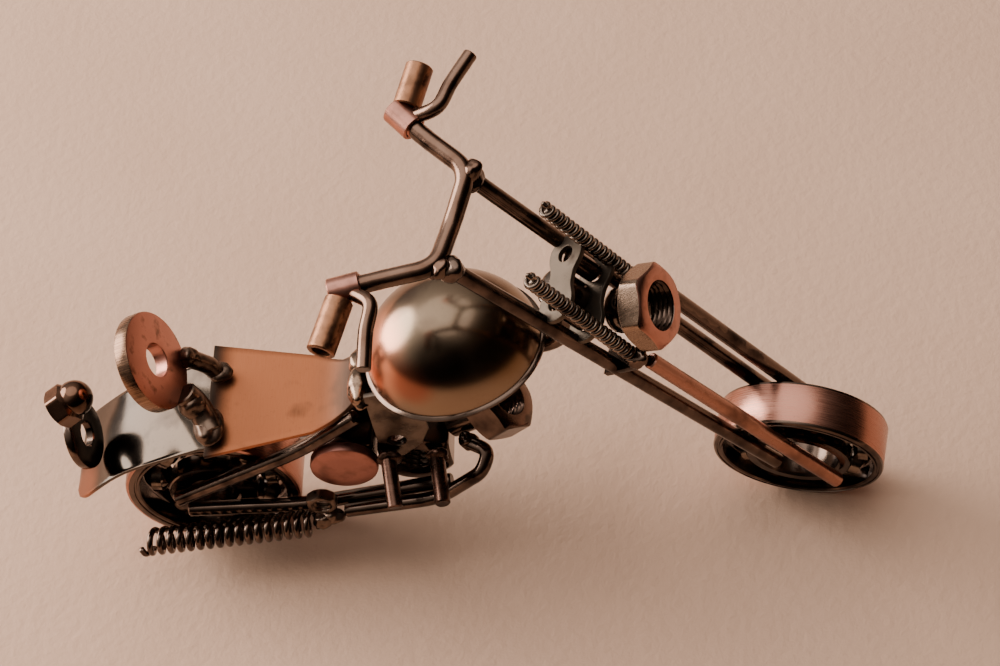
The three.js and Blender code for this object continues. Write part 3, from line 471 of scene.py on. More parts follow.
def evaluated(holder: bpy.types.Object) -> bpy.types.Mesh:
    """Turns a helper object, with its modifiers, into a plain mesh and removes it.

    Args:
        holder: the helper, not yet in the scene.

    Returns:
        The mesh.
    """
    bpy.context.scene.collection.objects.link(holder)
    depsgraph = bpy.context.evaluated_depsgraph_get()
    depsgraph.update()
    mesh = bpy.data.meshes.new_from_object(holder.evaluated_get(depsgraph))
    holder.modifiers.clear()
    bpy.data.objects.remove(holder)
    return mesh


def angles(sides: int) -> list[float]:
    """Equal steps of angle round a circle."""
    return [2 * math.pi * i / sides for i in range(sides)]


def ring_of(radius: float, height: float, sides: int) -> list[Vector]:
    """Ring of points about Z."""
    return [Vector((radius * math.cos(a), radius * math.sin(a), height)) for a in angles(sides)]


def round_hole(x: float, y: float, radius: float) -> list[Pair]:
    """Round outline in XY."""
    return [(x + radius * math.cos(a), y + radius * math.sin(a)) for a in angles(32)]


def curved(start: Vector | float, middle: Vector | float, end: Vector | float, t: float) -> Vector | float:
    """Value at t, from 0 to 1, on a curve from start to end that leans toward the middle."""
    return start * (1 - t) ** 2 + middle * 2 * t * (1 - t) + end * t * t


def hexagon(flat: float, angle: float) -> float:
    """Radius at an angle of a hexagon with softened corners; a flat faces +X."""
    inside = (angle + math.pi / 6) % (math.pi / 3) - math.pi / 6
    return min(flat / math.cos(inside), flat / math.cos(math.pi / 6) * SOFT_CORNER)


def placed(at: Point, aim: Point = (0, 0, 1), roll: float = 0.0) -> Matrix:
    """Placing that stands local Z along a direction.

    Args:
        at: origin.
        aim: where local Z points.
        roll: turn about local Z first, in radians.

    Returns:
        The matrix.
    """
    turn = UP.rotation_difference(Vector(aim).normalized())
    return Matrix.Translation(Vector(at)) @ turn.to_matrix().to_4x4() @ Matrix.Rotation(roll, 4, "Z")


def rings_to_shape(rings: list[list[Vector]], closed: bool = False) -> Shape:
    """Skins a row of equal rings.

    Args:
        rings: rings of points; a ring of one point is a pole.
        closed: whether the last ring joins the first.

    Returns:
        The skinned shape, facing outwards for rings that turn anticlockwise about their travel.
    """
    shape = Shape()
    starts = []
    for ring in rings:
        starts.append(len(shape.points))
        shape.points += ring
    pairs = list(zip(range(len(rings) - 1), range(1, len(rings))))
    if closed:
        pairs.append((len(rings) - 1, 0))
    for a, b in pairs:
        na, nb = len(rings[a]), len(rings[b])
        count = max(na, nb)
        for i in range(count):
            j = (i + 1) % count
            a0, a1 = starts[a] + i % na, starts[a] + j % na
            b0, b1 = starts[b] + i % nb, starts[b] + j % nb
            corners = []
            for index in (a0, a1, b1, b0):
                if index not in corners:
                    corners.append(index)
            shape.faces.append(tuple(corners))
    return shape


def lathe(profile: list[Pair], sides: int = 72) -> Shape:
    """Turns a profile about Z.

    Args:
        profile: radius and height pairs; anticlockwise with the solid on the left of the way up
            the outside. It closes on itself when its last pair equals its first.
        sides: steps round.

    Returns:
        The turned shape.
    """
    closed = profile[0] == profile[-1]
    rows = profile[:-1] if closed else profile
    rings = []
    for radius, height in rows:
        rings.append([Vector((0, 0, height))] if radius < 1e-6 else ring_of(radius, height, sides))
    return rings_to_shape(rings, closed)


def smooth_path(points: Sequence[Point], bend: float, per_bend: int = 8) -> list[Vector]:
    """Rounds the corners of a path.

    Args:
        points: corner points.
        bend: how far from each corner the rounding starts.
        per_bend: points in each rounding.

    Returns:
        Points of the rounded path.
    """
    corners = [Vector(p) for p in points]
    path = [corners[0]]
    for before, corner, after in zip(corners, corners[1:], corners[2:]):
        back, ahead = before - corner, after - corner
        reach = min(bend, back.length / 2.2, ahead.length / 2.2)
        enter, leave = corner + back.normalized() * reach, corner + ahead.normalized() * reach
        for i in range(per_bend + 1):
            t = i / per_bend
            path.append(curved(enter, corner, leave, t))
    path.append(corners[-1])
    return path


def spline(points: Sequence[Point], steps: int = 10) -> list[Vector]:
    """Passes a smooth curve through points.

    Args:
        points: points on the curve.
        steps: points between each two.

    Returns:
        Points of the curve.
    """
    known = [Vector(p) for p in points]
    known = [known[0] * 2 - known[1], *known, known[-1] * 2 - known[-2]]
    path = []
    for a, b, c, d in zip(known, known[1:], known[2:], known[3:]):
        for i in range(steps):
            t = i / steps
            path.append(0.5 * (
                2 * b + (c - a) * t + (2 * a - 5 * b + 4 * c - d) * t * t
                + (3 * b - a - 3 * c + d) * t ** 3))
    path.append(known[-2])
    return path


def tube(
    path: Sequence[Vector], radius: float, sides: int = 24, edge: float = 0.25,
    widths: Optional[Callable[[float], float]] = None, wobble: float = 0.0) -> Shape:
    """Sweeps a round rod along a path, with broken end edges.

    Args:
        path: points along the middle.
        radius: rod radius.
        sides: steps round.
        edge: size of the broken edge at each end.
        widths: optional scale of the radius from 0 to 1 along the path.
        wobble: random dents in the surface, in millimetres.

    Returns:
        The rod.
    """
    points = [Vector(p) for p in path]
    points = [p for i, p in enumerate(points) if i == 0 or (p - points[i - 1]).length > 1e-4]
    tangents = []
    for i in range(len(points)):
        ahead = points[min(i + 1, len(points) - 1)] - points[max(i - 1, 0)]
        tangents.append(ahead.normalized())
    side = tangents[0].orthogonal().normalized()
    total = sum((b - a).length for a, b in zip(points, points[1:]))
    rings = []
    travelled = 0.0
    stations = [(points[0], tangents[0], radius - edge)]
    for i, (point, tangent) in enumerate(zip(points, tangents)):
        if i:
            travelled += (point - points[i - 1]).length
        shrink = widths(travelled / total) if widths else 1.0
        at = point
        if i == 0:
            at = point + tangent * edge
        elif i == len(points) - 1:
            at = point - tangent * edge
        stations.append((at, tangent, radius * shrink))
    stations.append((points[-1], tangents[-1], radius - edge))
    for at, tangent, size in stations:
        side = (side - tangent * side.dot(tangent)).normalized()
        other = tangent.cross(side)
        ring = []
        for angle in angles(sides):
            out = side * math.cos(angle) + other * math.sin(angle)
            dent = wobble * noise.noise((at + out * size) * 0.9) if wobble else 0.0
            ring.append(at + out * (size + dent))
        rings.append(ring)
    rings = [[stations[0][0].copy()], *rings, [stations[-1][0].copy()]]
    return rings_to_shape(rings)


def rod(start: Point, end: Point, radius: float, sides: int = 28, edge: float = 0.25) -> Shape:
    """Straight round rod between two points."""
    a, b = Vector(start), Vector(end)
    return tube([a, a.lerp(b, 0.25), a.lerp(b, 0.5), a.lerp(b, 0.75), b], radius, sides, edge)


def pipe(
        start: Point, end: Point, outer: float, inner: float, deep: Optional[float] = None,
        sides: int = 40) -> Shape:
    """Straight tube with a hole, blind where a depth is given.

    Args:
        start: solid end.
        end: open end.
        outer: outer radius.
        inner: hole radius.
        deep: depth of the hole, or None for a hole right through.
        sides: steps round.

    Returns:
        The tube, with its mouth at the end.
    """
    a, b = Vector(start), Vector(end)
    length = (b - a).length
    e = 0.2
    mouth = [
        (outer, e), (outer, length - e), (outer - e, length), (inner + e * 0.7, length),
        (inner, length - e * 0.7)]
    if deep is None:
        profile = [(inner, 0), (outer - e, 0), *mouth, (inner, 0)]
    else:
        profile = [(0, 0), (outer - e, 0), *mouth, (inner, length - deep), (0, length - deep)]
    return lathe(profile, sides).moved(placed(a, b - a))


def nut(across: float, tall: float, bore: float, pitch: float = 1.1, sides: int = 96) -> Shape:
    """Hexagon nut about Z centred on z = 0, with chamfered corners and a threaded bore.

    Args:
        across: distance across flats; a flat faces +X.
        tall: thickness.
        bore: hole radius at the thread's crest.
        pitch: distance between thread turns.
        sides: steps round.

    Returns:
        The nut.
    """
    half, flat = tall / 2, across / 2
    land, lead_in, edge = flat * 0.95, bore + 0.45, 0.18
    turns = max(8, int(tall / pitch * 6))
    depth = 0.5 * pitch
    rings = []

    def reach(angle: float) -> float:
        """Radius of the hexagon."""
        return hexagon(flat, angle)

    def thread(angle: float, height: float) -> float:
        """Radius of the threaded bore."""
        phase = (height / pitch - angle / (2 * math.pi)) % 1.0
        near = min(1.0, (half - abs(height)) / 0.6)
        return bore + depth * (abs(phase - 0.5) * 2) * 0.9 * near + 0.45 * (1 - near)

    def ring(radius: Callable[[float], float], height: Callable[[float], float]) -> None:
        """Adds one ring."""
        rings.append([
            Vector((radius(a) * math.cos(a), radius(a) * math.sin(a), height(a))) for a in angles(sides)])

    ring(lambda a: lead_in, lambda a: -half)
    ring(lambda a: land, lambda a: -half)
    for level in (-1, 1):
        rows = [
            (lambda a: max(reach(a) - edge, land),
             lambda a: level * (half - (reach(a) - edge - land) * CHAMFER_SLOPE)),
            (reach, lambda a: level * (half - 0.12 - (reach(a) - land) * CHAMFER_SLOPE))]
        for row in rows if level < 0 else rows[::-1]:
            ring(*row)
    ring(lambda a: land, lambda a: half)
    ring(lambda a: lead_in, lambda a: half)
    for k in range(turns + 1):
        level = half - tall * k / turns
        ring(lambda a: thread(a, level), lambda a: level)
    return rings_to_shape(rings)


def washer(outer: float, hole: float, thick: float, edge: float = 0.35) -> Shape:
    """Flat washer about Z centred on z = 0, with rounded rims and a broken hole edge."""
    h, s = thick / 2, edge * 0.6
    return lathe([
        (hole, -h + s), (hole + s, -h), (outer - edge, -h), (outer - edge * 0.3, -h + edge * 0.3),
        (outer, -h + edge), (outer, h - edge), (outer - edge * 0.3, h - edge * 0.3), (outer - edge, h),
        (hole + s, h), (hole, h - s), (hole, -h + s)], 96)


def bead(at: Point, size: Point, lumps: float = 0.25, seed: float = SEED, rows: int = 16) -> Shape:
    """Lump of weld metal.

    Args:
        at: middle of the lump.
        size: half sizes.
        lumps: how uneven it is, as a share of its size.
        seed: shifts the random lumps.
        rows: steps from pole to pole.

    Returns:
        The lump.
    """
    rings = []
    half = Vector(size)
    for i in range(rows + 1):
        lat = -math.pi / 2 + math.pi * i / rows
        count = 1 if i in (0, rows) else 2 * rows
        ring = []
        for k in range(count):
            lon = 2 * math.pi * k / count
            out = Vector((math.cos(lat) * math.cos(lon), math.cos(lat) * math.sin(lon), math.sin(lat)))
            swell = 1 + 0.8 * lumps * noise.noise(out * 1.2 + Vector((seed, -seed, seed * 2)))
            swell += 0.12 * lumps * noise.noise(out * 3.0 + Vector((seed, seed, seed)))
            ring.append(Vector(at) + Vector(out[j] * half[j] * swell for j in range(3)))
        rings.append(ring)
    return rings_to_shape(rings)


def bent_sheet(top: list[list[Vector]], thick: float) -> Shape:
    """Gives a grid of points a thickness below it and closes its rim.

    Args:
        top: rows of points; row direction cross column direction points to the top side.
        thick: sheet thickness.

    Returns:
        The sheet.
    """
    rows, cols = len(top), len(top[0])
    shape = Shape([p for row in top for p in row])
    below = []
    for i in range(rows):
        for j in range(cols):
            along = top[min(i + 1, rows - 1)][j] - top[max(i - 1, 0)][j]
            across = top[i][min(j + 1, cols - 1)] - top[i][max(j - 1, 0)]
            below.append(top[i][j] - along.cross(across).normalized() * thick)
    shape.points += below
    base = rows * cols

    def at(i: int, j: int) -> int:
        """Number of a point of the top side."""
        return i * cols + j

    for i in range(rows - 1):
        for j in range(cols - 1):
            quad = (at(i, j), at(i + 1, j), at(i + 1, j + 1), at(i, j + 1))
            shape.faces.append(quad)
            shape.faces.append(tuple(base + q for q in reversed(quad)))
    rim = [at(i, 0) for i in range(rows)] + [at(rows - 1, j) for j in range(1, cols)]
    rim += [at(i, cols - 1) for i in range(rows - 2, -1, -1)]
    rim += [at(0, j) for j in range(cols - 2, 0, -1)]
    for a, b in zip(rim, rim[1:] + rim[:1]):
        shape.faces.append((b, a, base + a, base + b))
    return shape


# ------------------------------------------------------------------ geometry nodes
class Trees:
    """Node trees for what repeats: coils and rows of balls."""

    def __init__(self) -> None:
        """Starts with no trees."""
        self.made: dict[str, bpy.types.NodeTree] = {}

    def start(self, name: str, sizes: dict[str, str]) -> bpy.types.NodeTree:
        """Begins a tree with named inputs.

        Args:
            name: the tree's name.
            sizes: input name to socket type.

        Returns:
            The tree with its input and output nodes.
        """
        tree = bpy.data.node_groups.new(name, "GeometryNodeTree")
        tree.interface.new_socket("Geometry", in_out="OUTPUT", socket_type="NodeSocketGeometry")
        for label, kind in sizes.items():
            tree.interface.new_socket(label, in_out="INPUT", socket_type=kind)
        self.made[name] = tree
        return tree

    @staticmethod
    def finish(
            tree: bpy.types.NodeTree, geometry: bpy.types.NodeSocket,
            material: bpy.types.NodeSocket) -> None:
        """Ends a tree in real, smooth, dressed geometry.

        Args:
            tree: the tree.
            geometry: what it made.
            material: material socket.
        """
        real = node(tree, "GeometryNodeRealizeInstances", {0: geometry})
        smooth = node(tree, "GeometryNodeSetShadeSmooth", {0: real.outputs[0]})
        dressed = node(tree, "GeometryNodeSetMaterial", {0: smooth.outputs[0], "Material": material})
        node(tree, "NodeGroupOutput", {0: dressed.outputs[0]})

    def coil(self) -> bpy.types.NodeTree:
        """Tree of a wire wound into a coil about Z.

        Returns:
            The tree.
        """
        if "coil" in self.made:
            return self.made["coil"]
        tree = self.start("coil", {
            "Coil Radius": "NodeSocketFloat", "Wire Radius": "NodeSocketFloat", "Length": "NodeSocketFloat",
            "Turns": "NodeSocketFloat", "Steps": "NodeSocketInt", "Material": "NodeSocketMaterial"})
        given = node(tree, "NodeGroupInput").outputs
        spiral = node(tree, "GeometryNodeCurveSpiral", {
            "Resolution": given["Steps"], "Rotations": given["Turns"], "Start Radius": given["Coil Radius"],
            "End Radius": given["Coil Radius"], "Height": given["Length"]})
        wire = node(tree, "GeometryNodeCurvePrimitiveCircle", {
            "Resolution": 12, "Radius": given["Wire Radius"]})
        swept = node(tree, "GeometryNodeCurveToMesh", {
            "Curve": spiral.outputs[0], "Profile Curve": wire.outputs[0], "Fill Caps": True})
        self.finish(tree, swept.outputs[0], given["Material"])
        return tree

    def ball_row(self) -> bpy.types.NodeTree:
        """Tree of balls set round a pitch circle about Z.

        Returns:
            The tree.
        """
        if "ball_row" in self.made:
            return self.made["ball_row"]
        tree = self.start("ball_row", {
            "Pitch Radius": "NodeSocketFloat", "Ball Radius": "NodeSocketFloat", "Balls": "NodeSocketInt",
            "Material": "NodeSocketMaterial"})
        given = node(tree, "NodeGroupInput").outputs
        circle = node(tree, "GeometryNodeMeshCircle", {
            "Vertices": given["Balls"], "Radius": given["Pitch Radius"]})
        ball = node(tree, "GeometryNodeMeshUVSphere", {
            "Segments": 32, "Rings": 20, "Radius": given["Ball Radius"]})
        placed_balls = node(tree, "GeometryNodeInstanceOnPoints", {
            "Points": circle.outputs[0], "Instance": ball.outputs[0]})
        self.finish(tree, placed_balls.outputs[0], given["Material"])
        return tree

    @staticmethod
    def grow(tree: bpy.types.NodeTree, values: dict[str, object]) -> bpy.types.Mesh:
        """Runs a tree and returns its result as a plain mesh.

        Args:
            tree: the tree to run.
            values: input name to value.

        Returns:
            The mesh, in millimetres.
        """
        holder = bpy.data.objects.new("grower", bpy.data.meshes.new("grower"))
        modifier = holder.modifiers.new("grow", "NODES")
        modifier.node_group = tree
        for item in tree.interface.items_tree:
            if item.in_out == "INPUT" and item.name in values:
                modifier[item.identifier] = values[item.name]
        return evaluated(holder)


@dataclass
class Workshop:
    """What every sub-assembly needs to make its pieces."""

    datum: Datum
    finishes: Finishes
    trees: Trees

    def hang(
        self, name: str, mesh: bpy.types.Mesh, body: str, finishes: Sequence[Plate],
        stands_for: Sequence[str] = ()) -> bpy.types.Object:
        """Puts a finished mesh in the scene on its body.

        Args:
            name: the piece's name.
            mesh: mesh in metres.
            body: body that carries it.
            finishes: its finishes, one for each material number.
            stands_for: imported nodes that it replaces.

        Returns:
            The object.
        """
        piece = bpy.data.objects.new(name, mesh)
        bpy.context.scene.collection.objects.link(piece)
        marks = [min(p.material_index, len(finishes) - 1) for p in mesh.polygons]
        mesh.materials.clear()
        for finish in finishes:
            mesh.materials.append(self.finishes.plate(finish))
        mesh.polygons.foreach_set("material_index", marks)
        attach(piece, body)
        if stands_for:
            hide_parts(*stands_for)
        log.info("%s: %d faces on %s", name, len(mesh.polygons), body)
        return piece

    def make(
        self, name: str, shape: Shape, place: Matrix, body: str, finishes: Sequence[Plate],
        stands_for: Sequence[str] = (), sharp_deg: float = 32.0, bevel_mm: float = 0.0) -> bpy.types.Object:
        """Turns a shape into a placed piece.

        Args:
            name: the piece's name.
            shape: shape in millimetres.
            place: placing from millimetres to metres.
            body: body that carries it.
            finishes: its finishes.
            stands_for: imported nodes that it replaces.
            sharp_deg: edges sharper than this stay crisp.
            bevel_mm: width of a small rounding on its sharp edges.

        Returns:
            The object.
        """
        mesh = bpy.data.meshes.new(name)
        mesh.from_pydata([tuple(p) for p in shape.points], [], shape.faces)
        if shape.marks:
            mesh.polygons.foreach_set("material_index", shape.marks)
        mesh.validate()
        if bevel_mm > 0:
            mesh = self.rounded(mesh, bevel_mm)
        mesh.transform(place)
        mesh.polygons.foreach_set("use_smooth", [True] * len(mesh.polygons))
        mesh.set_sharp_from_angle(angle=math.radians(sharp_deg))
        mesh.update()
        return self.hang(name, mesh, body, finishes, stands_for)

    def on_frame(
            self, name: str, shape: Shape, finishes: Sequence[Plate], *nodes: str,
            **looks: float) -> None:
        """Makes a piece of the frame, drawn in the motorcycle's axes."""
        self.make(name, shape, self.datum.frame, "frame", finishes, nodes, **looks)

    def on_fork(
            self, name: str, shape: Shape, finishes: Sequence[Plate], *nodes: str,
            **looks: float) -> None:
        """Makes a piece of the fork, drawn in the fork's own axes."""
        self.make(name, shape, self.datum.fork, "fork", finishes, nodes, **looks)

    @staticmethod
    def rounded(mesh: bpy.types.Mesh, width: float) -> bpy.types.Mesh:
        """Rounds the sharp edges of a mesh.

        Args:
            mesh: mesh in millimetres.
            width: rounding width in millimetres.

        Returns:
            The rounded mesh.
        """
        holder = bpy.data.objects.new("rounding", mesh)
        bevel = holder.modifiers.new("round", "BEVEL")
        bevel.width = width
        bevel.segments = 2
        bevel.limit_method = "ANGLE"
        bevel.angle_limit = math.radians(40)
        return evaluated(holder)

    @staticmethod
    def outline(loops: Sequence[Sequence[Pair]], thick: float, edge: float = 0.12) -> Shape:
        """Cuts a plate with holes from outlines in XY.

        Args:
            loops: outer loop first, then holes.
            thick: plate thickness.
            edge: rounding of its edges.

        Returns:
            The plate, centred on z = 0.
        """
        curve = bpy.data.curves.new("outline", "CURVE")
        curve.dimensions = "2D"
        curve.fill_mode = "BOTH"
        curve.extrude = thick / 2 - edge
        curve.bevel_depth = edge
        curve.bevel_resolution = 1
        curve.offset = -edge
        for loop in loops:
            line = curve.splines.new("POLY")
            line.points.add(len(loop) - 1)
            for point, (x, y) in zip(line.points, loop):
                point.co = (x, y, 0, 1)
            line.use_cyclic_u = True
        return Shape.from_mesh(evaluated(bpy.data.objects.new("outline", curve)))

    def coil(
        self, name: str, place: Matrix, body: str, finish: Plate, sizes: dict[str, object],
        stands_for: Sequence[str] = (), extra: Optional[Shape] = None) -> bpy.types.Object:
        """Winds a spring and adds what belongs to it.

        Args:
            name: the piece's name.
            place: placing from the coil's millimetres to metres.
            body: body that carries it.
            finish: its finish.
            sizes: inputs of the coil tree.
            stands_for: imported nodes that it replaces.
            extra: core or wire ends in the coil's axes.

        Returns:
            The object.
        """
        material = self.finishes.plate(finish)
        wound = self.trees.grow(self.trees.coil(), {**sizes, "Material": material})
        shape = Shape.from_mesh(wound)
        if extra:
            shape.add(extra)
        return self.make(name, shape, place, body, [finish], stands_for, sharp_deg=60)


SIDES: tuple[tuple[str, int], ...] = (("right", -1), ("left", 1))


# ------------------------------------------------------------------ wheels
@dataclass
class Bearing:
    """A ball bearing used as a wheel, drawn about Z and laid on its side."""

    end: str
    holder: str
    outer: float
    shoulder: float
    width: float
    pitch: float
    ball: float
    balls: int
    inner: float
    bore: float
    tread_reach: float = 0.05
    clearance: float = 0.3

    def groove(self, side: int) -> list[Pair]:
        """Profile points of the half-round ball groove.

        Args:
            side: 1 on the outer race, -1 on the inner race.

        Returns:
            Radius and height pairs from the top down.
        """
        radius = self.ball + self.clearance
        wall = abs((self.shoulder if side > 0 else self.inner) - self.pitch)
        reach = math.acos(wall / radius)
        return [
            (self.pitch + side * radius * math.cos(a), radius * math.sin(a))
            for a in (reach * (1 - i / 8) for i in range(17))]

    def races(self) -> tuple[Shape, Shape]:
        """Outer and inner race.

        Returns:
            Two turned shapes; the outer race's tread carries mark 0 and its other faces mark 1.
        """
        h, e = self.width / 2, 0.7
        s = self.shoulder
        round_top = [(self.outer, h - e), (self.outer - e * 0.3, h - e * 0.3), (self.outer - e, h)]
        face = [
            (s + 1.15, h), (s + 1.05, h - 0.2), (s + 0.75, h - 0.25), (s + 0.65, h), (s + 0.25, h),
            (s, h - 0.25)]
        top = [*round_top, *face]
        under = [(r, -z) for r, z in reversed(top)]
        profile = [*top, *self.groove(1), *under]
        profile.append(profile[0])
        outer = lathe(profile, 144)
        outer.marks = [0 if self.on_tread(outer, f) else 1 for f in outer.faces]
        n, b = self.inner, self.bore
        edge = [(b, h - 0.5), (b + 0.5, h), (n - 0.25, h), (n, h - 0.25)]
        profile = [*[(r, -z) for r, z in edge], *reversed(self.groove(-1)), *reversed(edge)]
        profile.append(profile[0])
        return outer, lathe(profile, 112)

    def on_tread(self, shape: Shape, face: tuple[int, ...]) -> bool:
        """Says whether a face of the outer race is on its tread."""
        return min(shape.radii(face)) > self.outer - self.tread_reach

    def ribbon(self) -> Shape:
        """Two pressed cage halves that wrap each ball, with a rivet between balls.

        Returns:
            The cage.
        """
        shape = Shape()
        wide, thick = 0.95, 0.3
        half_rivet = [(0.6, 0.4), (0.55, 0.55), (0.35, 0.72), (0, 0.75)]
        rivet = [*((r, -z) for r, z in reversed(half_rivet)), *half_rivet]
        steps = self.balls * 24
        for half in (-1, 1):
            rings = []
            for i in range(steps):
                angle = 2 * math.pi * i / steps
                away = (i / 24 + 0.5) % 1.0 - 0.5
                along = away * 2 * math.pi * self.pitch / self.balls
                hug = self.ball + 0.18
                lift = math.sqrt(max(hug * hug - along * along, 0.0)) if abs(along) < hug else 0.0
                z = half * max(lift, 0.12)
                turn = Matrix.Rotation(angle, 4, "Z")
                corner = [(-wide, z), (wide, z), (wide, z + half * thick), (-wide, z + half * thick)]
                if half < 0:
                    corner.reverse()
                rings.append([turn @ Vector((self.pitch + dx, 0, dz)) for dx, dz in corner])
            band = rings_to_shape(rings, closed=True)
            band.faces = [tuple(reversed(f)) for f in band.faces]
            shape.add(band)
        for k in range(self.balls):
            angle = 2 * math.pi * (k + 0.5) / self.balls
            at = Vector((self.pitch * math.cos(angle), self.pitch * math.sin(angle), 0))
            shape.add(lathe(rivet, 12).moved(Matrix.Translation(at)))
        return shape

    def build(self, shop: Workshop) -> None:
        """Makes the wheel's races, balls and cage.

        Args:
            shop: the workshop.
        """
        axle = shop.datum.rear_axle if self.end == "rear" else shop.datum.front_axle
        place = axle @ Matrix.Rotation(-math.pi / 2, 4, "X")
        outer, inner = self.races()
        around = tuple(axle.to_3x3().inverted().to_euler())
        tread = replace(COPPER_TREAD, name=f"{COPPER_TREAD.name}_{self.end}", brush_turn=around)
        shop.make(
            f"{self.end}_tread_race", outer, place, f"{self.end}_wheel", [tread, NICKEL_DARK],
            [f"{self.end}_tyre"], sharp_deg=38)
        shop.make(
            f"{self.end}_hub_race", inner, place, self.holder, [NICKEL_DARK], [f"{self.end}_inner_race"],
            sharp_deg=38)
        shop.make(
            f"{self.end}_cage_ribbon", self.ribbon(), place, f"{self.end}_cage", [NICKEL_COIL],
            [f"{self.end}_ball_cage"], sharp_deg=45)
        balls = shop.trees.grow(shop.trees.ball_row(), {
            "Pitch Radius": self.pitch, "Ball Radius": self.ball, "Balls": self.balls,
            "Material": shop.finishes.plate(NICKEL_BRIGHT)})
        balls.transform(place)
        shop.hang(f"{self.end}_balls", balls, f"{self.end}_cage", [NICKEL_BRIGHT])


# ------------------------------------------------------------------ fork
@dataclass
class Fork:
    """Fork legs, clamps, springs, lamp and handlebar, in the fork's own axes.

    X is square to the steering axis and forward, Y is left and Z runs up along the axis.
    """

    rod: float = 1.5
    low_y: float = 6.3
    bar_s: float = 94.9
    bar_r: float = 1.65
    bar_twist_deg: float = -8.0
    link_u: float = 3.4
    link_half: float = 4.9
    link_top: float = 69.6
    link_hole: float = 1.6
    link_thick: float = 1.0
    lamp_face: Point = (13.8, 0, 55.2)
    lamp_dip_deg: float = 10.0
    lamp_across: float = 14.0
    lamp_tall: float = 4.9
    collar_length: float = 4.9
    collar_r: float = 4.2
    spring_r: float = 1.5
    spring_length: float = 31.0
    spring_coils: int = 22

    def bar(self, u: float, y: float, s: float) -> Vector:
        """A point given in the handlebar's own turned axes."""
        return Matrix.Rotation(math.radians(self.bar_twist_deg), 3, "Z") @ Vector((u, y, s)) + Vector(
            (0, 0, self.bar_s))

    def leg_ends(self, side: int) -> tuple[Vector, Vector]:
        """Ends of a rear leg."""
        top = self.bar_s - self.bar_r - 0.8
        return Vector((1.6, side * self.low_y, 4.0)), Vector((0.6, side * 8.9, top))

    def legs(self, shop: Workshop, name: str, side: int) -> None:
        """Makes the two legs of one side.

        Args:
            shop: the workshop.
            name: right or left.
            side: -1 right, 1 left.
        """
        low, top = self.leg_ends(side)
        leg = rod(low, top, self.rod)
        leg.add(bead(top, (2.2, 2.3, 2.0), 0.3, SEED + side))
        shop.on_fork(f"rear_leg_{name}", leg, [NICKEL_DARK], f"fork_leg_rear_{name}")
        front = rod((7.4, side * self.low_y, -7.5), (8.0, side * 7.1, 49.6), self.rod)
        finish = COPPER_ROD if side < 0 else NICKEL_DARK
        shop.on_fork(f"front_leg_{name}", front, [finish], f"fork_leg_front_{name}")

    def springs(self, shop: Workshop, name: str, side: int) -> None:
        """Winds the spring of one side on its wire core.

        Args:
            shop: the workshop.
            name: right or left.
            side: -1 right, 1 left.
        """
        low = Vector((6.0, side * 7.0, 52.0))
        top = Vector((8.2, side * 7.0, 52.0 + self.spring_length))
        wire = 0.48
        core = rod((0, 0, -0.2), (0, 0, self.spring_length - 1.6), 0.72, 14)
        tip = rod((0.9, 0, self.spring_length - 1.2), (0.2, 0.5, self.spring_length), wire, 12)
        core.add(tip)
        shop.coil(
            f"spring_coil_{name}", shop.datum.fork @ placed(low, top - low), "fork", NICKEL_COIL,
            {"Coil Radius": self.spring_r - wire, "Wire Radius": wire, "Length": self.spring_length - 1.0,
             "Turns": float(self.spring_coils), "Steps": 20}, [f"fork_spring_{name}"], core)

    def handlebar(self, shop: Workshop) -> None:
        """Makes the bent bar with its welds.

        Args:
            shop: the workshop.
        """
        half = [(-13.0, 17.6, 9.1), (-7.9, 14.0, 5.3), (0.5, 9.3, 0)]
        points = [self.bar(u, -y, s) for u, y, s in half]
        points += [self.bar(-1.0, 0, -1.4), *(self.bar(*p) for p in reversed(half))]
        shape = tube(smooth_path(points, 3.2, 10), self.bar_r, 28, 0.3, wobble=0.05)
        for side in (-1, 1):
            at = self.bar(0.6, side * 9.3, -0.5)
            shape.add(bead(at, (2.0, 2.2, 1.6), 0.35, SEED + 3 * side))
        shop.on_fork("bent_handlebar", shape, [BRONZE_ROD], "handlebar")

    def controls(self, shop: Workshop, name: str, side: int) -> None:
        """Makes the sleeve, grip and lever at one end of the bar.

        Args:
            shop: the workshop.
            name: right or left.
            side: -1 right, 1 left.
        """
        mid, end = self.bar(-7.9, side * 14.0, 5.3), self.bar(-13.0, side * 17.6, 9.1)
        low = mid.lerp(end, 0.3)
        top = end + (end - mid).normalized() * 0.5
        sleeve = pipe(low, top, 2.45, self.bar_r + 0.3)
        sleeve.add(bead(low.lerp(top, 0.15), (1.7, 1.9, 1.6), 0.5, SEED + side * 5))
        shop.on_fork(f"sleeve_{name}", sleeve, [COPPER_SATIN], f"bar_sleeve_{name}")
        turn = Matrix.Rotation(math.radians(self.bar_twist_deg), 3, "Z")
        aim = (turn @ Vector((0.03, side, 0.04))).normalized()
        root = low.lerp(top, 0.55) + aim * 2.45 * 0.7
        length = 10.3 if side < 0 else 8.4
        grip = pipe(root + aim * 0.4, root + aim * length, 2.5, 1.6, 6.0)
        shop.on_fork(f"grip_tube_{name}", grip, [GRIP_PLATE], f"grip_{name}")
        first = low.lerp(top, 0.25) + self.bar(0.6, side * 1.2, 0) - self.bar(0, 0, 0)
        path = spline([first, self.bar(-5.2, side * 19.0, 6.4), self.bar(-4.8, side * 24.0, 5.6),
                       self.bar(-3.4, side * 30.3, 4.6)])
        lever = tube(path, 1.3, 20, 0.15)
        shop.on_fork(f"lever_rod_{name}", lever, [BRONZE_ROD], f"lever_{name}")

